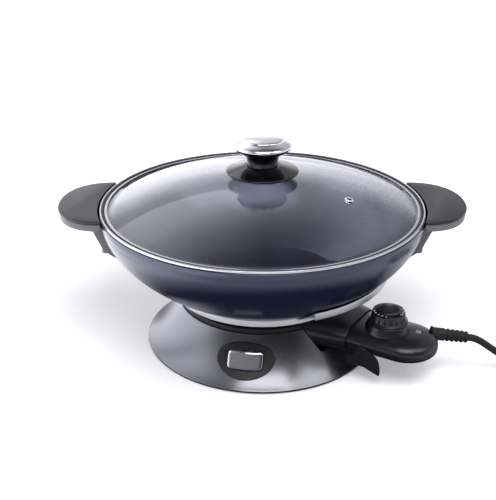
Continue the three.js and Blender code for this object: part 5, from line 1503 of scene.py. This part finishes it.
class WOK_OT_probe(BuildOperator):
    """Builds the probe's shells, its lens and its release lever"""

    bl_idname = "wok.probe"
    bl_label = "Probe"

    pivot_x = 126 * MM
    pivot_z = 23.2 * MM
    pin_radius = 1.55 * MM
    lever_gap = 0.6 * MM
    lens_place = mm(181, 8)
    lens_stand = 0.5 * MM
    slack = 5 * MM
    shaft_bore = 3.3 * MM
    lens_bore = 3.9 * MM
    relief_bore = 6.9 * MM
    relief_pocket = 7.7 * MM
    ear_radius = 3 * MM
    ear_thickness = 2.4 * MM
    cheek = 2.6 * MM
    pin_bite = 1.9 * MM

    def build(self, scene):
        size = scene.wok_probe
        split = size.middle + 1.2 * MM
        low = size.middle - size.belly - self.slack
        high = size.middle + size.crown + self.slack
        lower = self.with_ears(size, self.shell(size, low, split))
        piece("lower_shell", lower, "probe", "Dark plastic", ["probe_lower_shell"])
        upper = self.shell(size, split + BUILD_GAP, high)
        upper = combined(upper, self.upright(size.dial_along, 0.0, self.shaft_bore))
        upper = combined(upper, self.upright(*self.lens_place, self.lens_bore))
        piece("upper_shell", upper, "probe", "Dark plastic", ["probe_upper_shell"])
        self.lens(size)
        self.lever(size)

    def upright(self, x, y, radius):
        """A bar through the probe's back, to cut a round hole with."""
        return rod(radius, (x, y, 38 * MM), (x, y, 60 * MM), turn=PROBE_TURN)

    def shell(self, size, low, high):
        """One half of the hollow body, with the holes in its nose and for the cord."""
        bm = combined(probe_form(), probe_form(size.wall))
        wide = size.half_width + self.slack
        slab = block((size.nose - self.slack, -wide, low), (size.end + self.slack, wide, high))
        bm = combined(bm, slab, "INTERSECT")
        pin_height = size.middle + 4.2 * MM
        for y, radius in (mm(-14, 3.2), mm(14, 3.2), mm(0.0, 3.3)):
            start = (size.nose - 4 * MM, y, pin_height)
            end = (size.nose + 6 * MM, y, pin_height)
            bm = combined(bm, rod(radius, start, end))
        transformed(bm, PROBE_TURN)
        run = (STRAIN_TIP - STRAIN_ROOT).normalized()
        bm = combined(bm, rod(self.relief_bore, STRAIN_ROOT, STRAIN_TIP, 48))
        start = STRAIN_ROOT - run * 4 * MM
        end = STRAIN_ROOT + run * 3 * MM
        return combined(bm, rod(self.relief_pocket, start, end, 48))

    def with_ears(self, size, bm):
        """Adds the two ears that carry the lever's pin, inside the probe's sides."""
        x, z = self.pivot_x, self.pivot_z
        inner = size.half_width + self.lever_gap
        face = inner - EAR_GAP
        reach = self.ear_radius
        for side in (-1, 1):
            low_y, high_y = sorted((side * (face - self.ear_thickness), side * face))
            web = block((x - reach, low_y, z), (x + reach, high_y, size.middle), PROBE_TURN)
            disc = rod(reach, (x, low_y, z), (x, high_y, z), turn=PROBE_TURN)
            bm = combined(bm, combined(web, disc, "UNION"), "UNION")
        return combined(bm, rod(self.pin_radius, (x, -inner, z), (x, inner, z), turn=PROBE_TURN))

    def lens(self, size):
        """A small domed window over the lamp."""
        top = size.middle + size.crown + self.lens_stand
        bm = spun(drawn(LENS, 0.0, top, 6), 48, closed=False)
        transformed(bm, PROBE_TURN @ Matrix.Translation((*self.lens_place, 0.0)))
        piece("lamp_lens", bm, "probe", "Clear lens", ["indicator_lens"])

    def lever(self, size):
        """A cheek on each side of the probe, joined under it by a bar."""
        x, z = self.pivot_x, self.pivot_z
        inner = size.half_width + self.lever_gap
        outer = inner + self.cheek
        side = drawn(LEVER, x, z, 5)
        lie = Matrix.Rotation(math.pi / 2, 4, "X")
        low = (x - 3 * MM, BUILD_GAP - outer, z - 5.7 * MM)
        bm = block(low, (x + 6 * MM, outer - BUILD_GAP, z - 3.7 * MM))
        for low, high in ((-outer, -inner), (inner, outer)):
            bm = combined(bm, transformed(extruded(side, low, high), lie), "UNION")
        bevelled(bm, 0.5 * MM, 3, 50)
        bite = inner + self.pin_bite
        bm = combined(bm, rod(self.pin_radius, (x, -bite, z), (x, bite, z)))
        transformed(bm, PROBE_TURN)
        piece("pull_lever", bm, "lever", "Grip plastic", ["release_lever"])


class WOK_OT_dial(BuildOperator):
    """Builds the dial with its pedestal, scale and crown"""

    bl_idname = "wok.dial"
    bl_label = "Dial"

    flutes = 18
    flute_radius = 1.3 * MM
    flute_share = 0.912
    ribs = 28
    rib_depth = 0.35 * MM
    dots = 5
    ticks = 4
    dots_reach = 14.9 * MM
    print_height = 0.04 * MM

    def build(self, scene):
        size = scene.wok_probe
        out = Matrix.Translation((size.dial_along, 0.0, 0.0))
        place = PROBE_TURN @ out
        pedestal = transformed(spun(drawn(PEDESTAL), 96), out)
        pedestal = transformed(combined(pedestal, probe_form(-BUILD_GAP)), PROBE_TURN)
        piece("dial_stand", pedestal, "probe", "Dark plastic", ["dial_pedestal"])
        self.knob(size, place)
        ring = spun(drawn(SCALE_RING, 0.0, size.dial_top), 96)
        piece("scale_plate", transformed(ring, place), "dial", "Gloss plastic",
              ["dial_scale_ring"])
        self.marks(size, place)
        self.crown(size, place)

    def knob(self, size, place):
        """The dial's body, with flutes round its side."""
        bm = spun(drawn(DIAL, 0.0, size.dial_bottom), 144)
        flutes = []
        low = size.dial_bottom + 3.6 * MM
        high = size.dial_top - 1.6 * MM
        reach = size.dial_radius * self.flute_share
        for flute in range(self.flutes):
            x, y = round_place(reach, flute / self.flutes * FULL_TURN)
            flutes.append(rod(self.flute_radius, (x, y, low), (x, y, high), 24))
        bm = combined(bm, gathered(flutes))
        piece("dial_body", transformed(bm, place), "dial", "Dark plastic", ["dial_knob"])

    def marks(self, size, place):
        """Printed dots that grow on one side of the scale and ticks on the other."""
        low = size.dial_top + 1.1 * MM
        high = low + self.print_height
        shapes = []
        for step in range(self.dots):
            x, y = round_place(self.dots_reach, math.radians(17.2 * step - 146))
            radius = (0.95 - 0.06 * step) * MM
            shapes.append(rod(radius, (x, y, low), (x, y, high), 20))
        for step in range(self.ticks):
            turn = Matrix.Rotation(math.radians(16 * step - 8), 4, "Z")
            shapes.append(block((*mm(13.6, -0.5), low), (*mm(16.2, 0.5), high), turn))
        bm = transformed(gathered(shapes), place)
        piece("scale_marks", bm, "dial", "Printed marks")

    def crown(self, size, place):
        """A low dome with fine ribs that run out from its middle."""
        bm = spun(drawn(CROWN, 0.0, size.dial_top, 6), 168, closed=False)
        start = 3 * MM
        fade = 4 * MM
        for vert in bm.verts:
            reach = math.hypot(vert.co.x, vert.co.y)
            if reach > start and vert.co.z > size.dial_top + 1 * MM:
                wave = 0.5 - 0.5 * math.cos(self.ribs * math.atan2(vert.co.y, vert.co.x))
                vert.co.z -= self.rib_depth * wave * min((reach - start) / fade, 1.0)
        piece("dial_grip", transformed(bm, place), "dial", "Dark plastic", ["dial_crown"])


class WOK_OT_inner_pieces(BuildOperator):
    """Gives the pieces inside the wok their finishes"""

    bl_idname = "wok.inner_pieces"
    bl_label = "Inner pieces"

    def build(self, scene):
        looks = {
            "Inner plastic": ["base_plate", "element_housing"],
            "Plain steel": [
                "latch_bar", "latch_spring", "housing_bolt", "heating_element", "knob_screw",
                "sensor_rod", "lever_pin",
            ],
            "Ceramic": ["terminal_bush_left", "terminal_bush_right", "thermostat_body"],
            "Brass": ["contact_sleeve_left", "contact_sleeve_right", "dial_shaft"],
            "Rubber": ["knob_washer"],
        }
        for look, names in looks.items():
            for name in names:
                dress(name, look)


class WOK_OT_stage(BuildOperator):
    """Builds the plain floor, the studio lights and the white surroundings"""

    bl_idname = "wok.stage"
    bl_label = "Stage"

    floor_radius = 9.0
    floor_drop = 0.02 * MM
    # Middle of the painted shadow that reflections see on the floor round the base.
    painted_shadow_centre = (0.02, -0.06, 0.0)
    aimed_at = Vector((0.0, 0.0, 0.1))
    fill_tone = (0.96, 0.96, 1.0, 1.0)
    fill_level = 0.45

    def build(self, scene):
        scene.view_settings.view_transform = "Standard"
        bm = bmesh.new()
        bmesh.ops.create_circle(bm, cap_ends=True, segments=64, radius=self.floor_radius)
        mesh = bpy.data.meshes.new("floor")
        bm.to_mesh(mesh)
        bm.free()
        mesh.materials.append(self.floor_finish())
        floor = bpy.data.objects.new("floor", mesh)
        floor.location.z = -self.floor_drop
        scene.collection.objects.link(floor)
        self.lamp(scene, "Top", (0.05, -0.64, 1.35), 0.9, 13.0)
        self.lamp(scene, "Left", (-1.3, -0.2, 0.9), 0.9, 4.0, mirrored=False)
        self.lamp(scene, "Right", (0.75, -0.35, 1.15), 0.7, 4.0)
        self.world(scene)

    def lamp(self, scene, name, place, size, power, mirrored=True):
        """A soft square lamp that faces the bowl, and that its reflections may leave out."""
        data = bpy.data.lights.new(name, "AREA")
        data.shape = "SQUARE"
        data.size = size
        data.energy = power
        lamp = bpy.data.objects.new(name, data)
        lamp.location = place
        lamp.visible_glossy = mirrored
        lamp.rotation_euler = (self.aimed_at - Vector(place)).to_track_quat("-Z", "Y").to_euler()
        scene.collection.objects.link(lamp)

    def seen_directly(self, tree):
        """1 for rays from the camera, and for reflections and what shows through glass."""
        path = node(tree, "ShaderNodeLightPath").outputs
        either = maths(tree, "MAXIMUM", path["Is Camera Ray"], path["Is Glossy Ray"])
        return maths(tree, "MAXIMUM", either, path["Is Transmission Ray"])

    def mixed(self, tree, factor, first, second):
        """The socket of one shader or the other, by a factor."""
        inputs = {0: factor, 1: first.outputs[0], 2: second.outputs[0]}
        return node(tree, "ShaderNodeMixShader", inputs).outputs[0]

    def floor_finish(self):
        """Pale matt board: white to a camera where no shadow falls; reflections see painted light instead, a
        painted shadow near the base and a painted glow to the left.
        """
        material = fresh("Pale floor")
        tree = material.node_tree
        place = node(tree, "ShaderNodeTexCoord").outputs["Object"]
        tint = mottled(tree, noise(tree, place, 3.0), palette().floor, 0.01)
        board = node(tree, "ShaderNodeBsdfDiffuse", {"Color": tint})
        far = mapped(tree, reach_of(tree, place), 0.3, 0.8, 0.3, 1.0)
        glow = maths(tree, "MULTIPLY", self.seen_directly(tree), far)
        light = node(tree, "ShaderNodeEmission", {"Strength": glow})
        shown = node(tree, "ShaderNodeAddShader", {0: board.outputs[0], 1: light.outputs[0]})
        # Reflections don't see the lit board but painted light: a painted shadow round the base and a
        # painted glow that brightens the floor to the left.
        centre = {0: place, 1: self.painted_shadow_centre}
        moved = node(tree, "ShaderNodeVectorMath", centre, operation="SUBTRACT").outputs[0]
        painted_reflection = mapped(tree, reach_of(tree, moved), 0.16, 0.28, 0.04, 1.1)
        across = node(tree, "ShaderNodeSeparateXYZ", {0: place}).outputs["X"]
        painted_reflection = maths(tree, "MULTIPLY", painted_reflection, mapped(tree, across, -0.15, -0.3, 1.0, 2.4))
        mirrored = node(tree, "ShaderNodeEmission", {"Color": COOL_WHITE, "Strength": painted_reflection})
        glossy = node(tree, "ShaderNodeLightPath").outputs["Is Glossy Ray"]
        both = self.mixed(tree, glossy, shown, mirrored)
        node(tree, "ShaderNodeOutputMaterial", {"Surface": both})
        return material

    def world(self, scene):
        """White behind the object; reflections see white walls, a dark ceiling and a dim front."""
        world = bpy.data.worlds.new("Studio")
        world.use_nodes = True
        tree = world.node_tree
        tree.nodes.clear()
        way = node(tree, "ShaderNodeTexCoord").outputs["Generated"]
        parts = node(tree, "ShaderNodeSeparateXYZ", {0: way}).outputs
        level = mapped(tree, parts["Z"], 0.64, 0.92, 1.0, 0.14)
        front = mapped(tree, parts["Y"], -0.6, -0.2, 0.12, 1.0)
        side = mapped(tree, parts["X"], -0.35, 0.35, 1.3, 0.62)
        upper = mapped(tree, parts["Z"], 0.462, 0.476, 0.0, 0.55)
        left = mapped(tree, parts["X"], 0.02, -0.12, 0.0, 1.0)
        low = mapped(tree, parts["Z"], 0.4, 0.2, 0.85, 1.8)
        panel = maths(tree, "ADD", maths(tree, "MULTIPLY", upper, left), low)
        for share in (front, side, panel):
            level = maths(tree, "MULTIPLY", level, share)
        camera = node(tree, "ShaderNodeLightPath").outputs["Is Camera Ray"]
        tint = blended(tree, camera, COOL_WHITE, (1.0, 1.0, 1.0, 1.0))
        level = maths(tree, "MAXIMUM", level, camera)
        shown = node(tree, "ShaderNodeBackground", {"Color": tint, "Strength": level})
        fill = node(tree, "ShaderNodeBackground", {"Color": self.fill_tone, "Strength": self.fill_level})
        both = self.mixed(tree, self.seen_directly(tree), fill, shown)
        node(tree, "ShaderNodeOutputWorld", {"Surface": both})
        scene.world = world


STEPS = (
    WOK_OT_camera,
    WOK_OT_cord,
    WOK_OT_bowl,
    WOK_OT_bowl_trim,
    WOK_OT_grips,
    WOK_OT_lid,
    WOK_OT_knob,
    WOK_OT_base,
    WOK_OT_release,
    WOK_OT_probe,
    WOK_OT_dial,
    WOK_OT_inner_pieces,
    WOK_OT_stage,
)
GROUPS = {
    "wok_lid": LidSizes,
    "wok_bowl": BowlSizes,
    "wok_grips": GripSizes,
    "wok_base": BaseSizes,
    "wok_probe": ProbeSizes,
    "wok_cord": CordSizes,
    "wok_colours": Colours,
}


class WOK_PT_panel(bpy.types.Panel):
    """Lists the sizes, the colours and the steps that build the wok"""

    bl_idname = "WOK_PT_panel"
    bl_label = "Electric wok"
    bl_space_type = "VIEW_3D"
    bl_region_type = "UI"
    bl_category = "Electric wok"

    def draw(self, context):
        for name, group in GROUPS.items():
            box = self.layout.box()
            box.label(text=group.__doc__)
            for key in group.__annotations__:
                box.prop(getattr(context.scene, name), key)
        for step in STEPS:
            self.layout.operator(step.bl_idname)


def register():
    for name, group in GROUPS.items():
        bpy.utils.register_class(group)
        setattr(bpy.types.Scene, name, bpy.props.PointerProperty(type=group))
    for step in STEPS:
        bpy.utils.register_class(step)
    bpy.utils.register_class(WOK_PT_panel)


def unregister():
    bpy.utils.unregister_class(WOK_PT_panel)
    for step in reversed(STEPS):
        bpy.utils.unregister_class(step)
    for name, group in reversed(GROUPS.items()):
        delattr(bpy.types.Scene, name)
        bpy.utils.unregister_class(group)


def main():
    register()
    for step in STEPS:
        group, name = step.bl_idname.split(".")
        getattr(getattr(bpy.ops, group), name)()


if __name__ == "__main__":
    main()
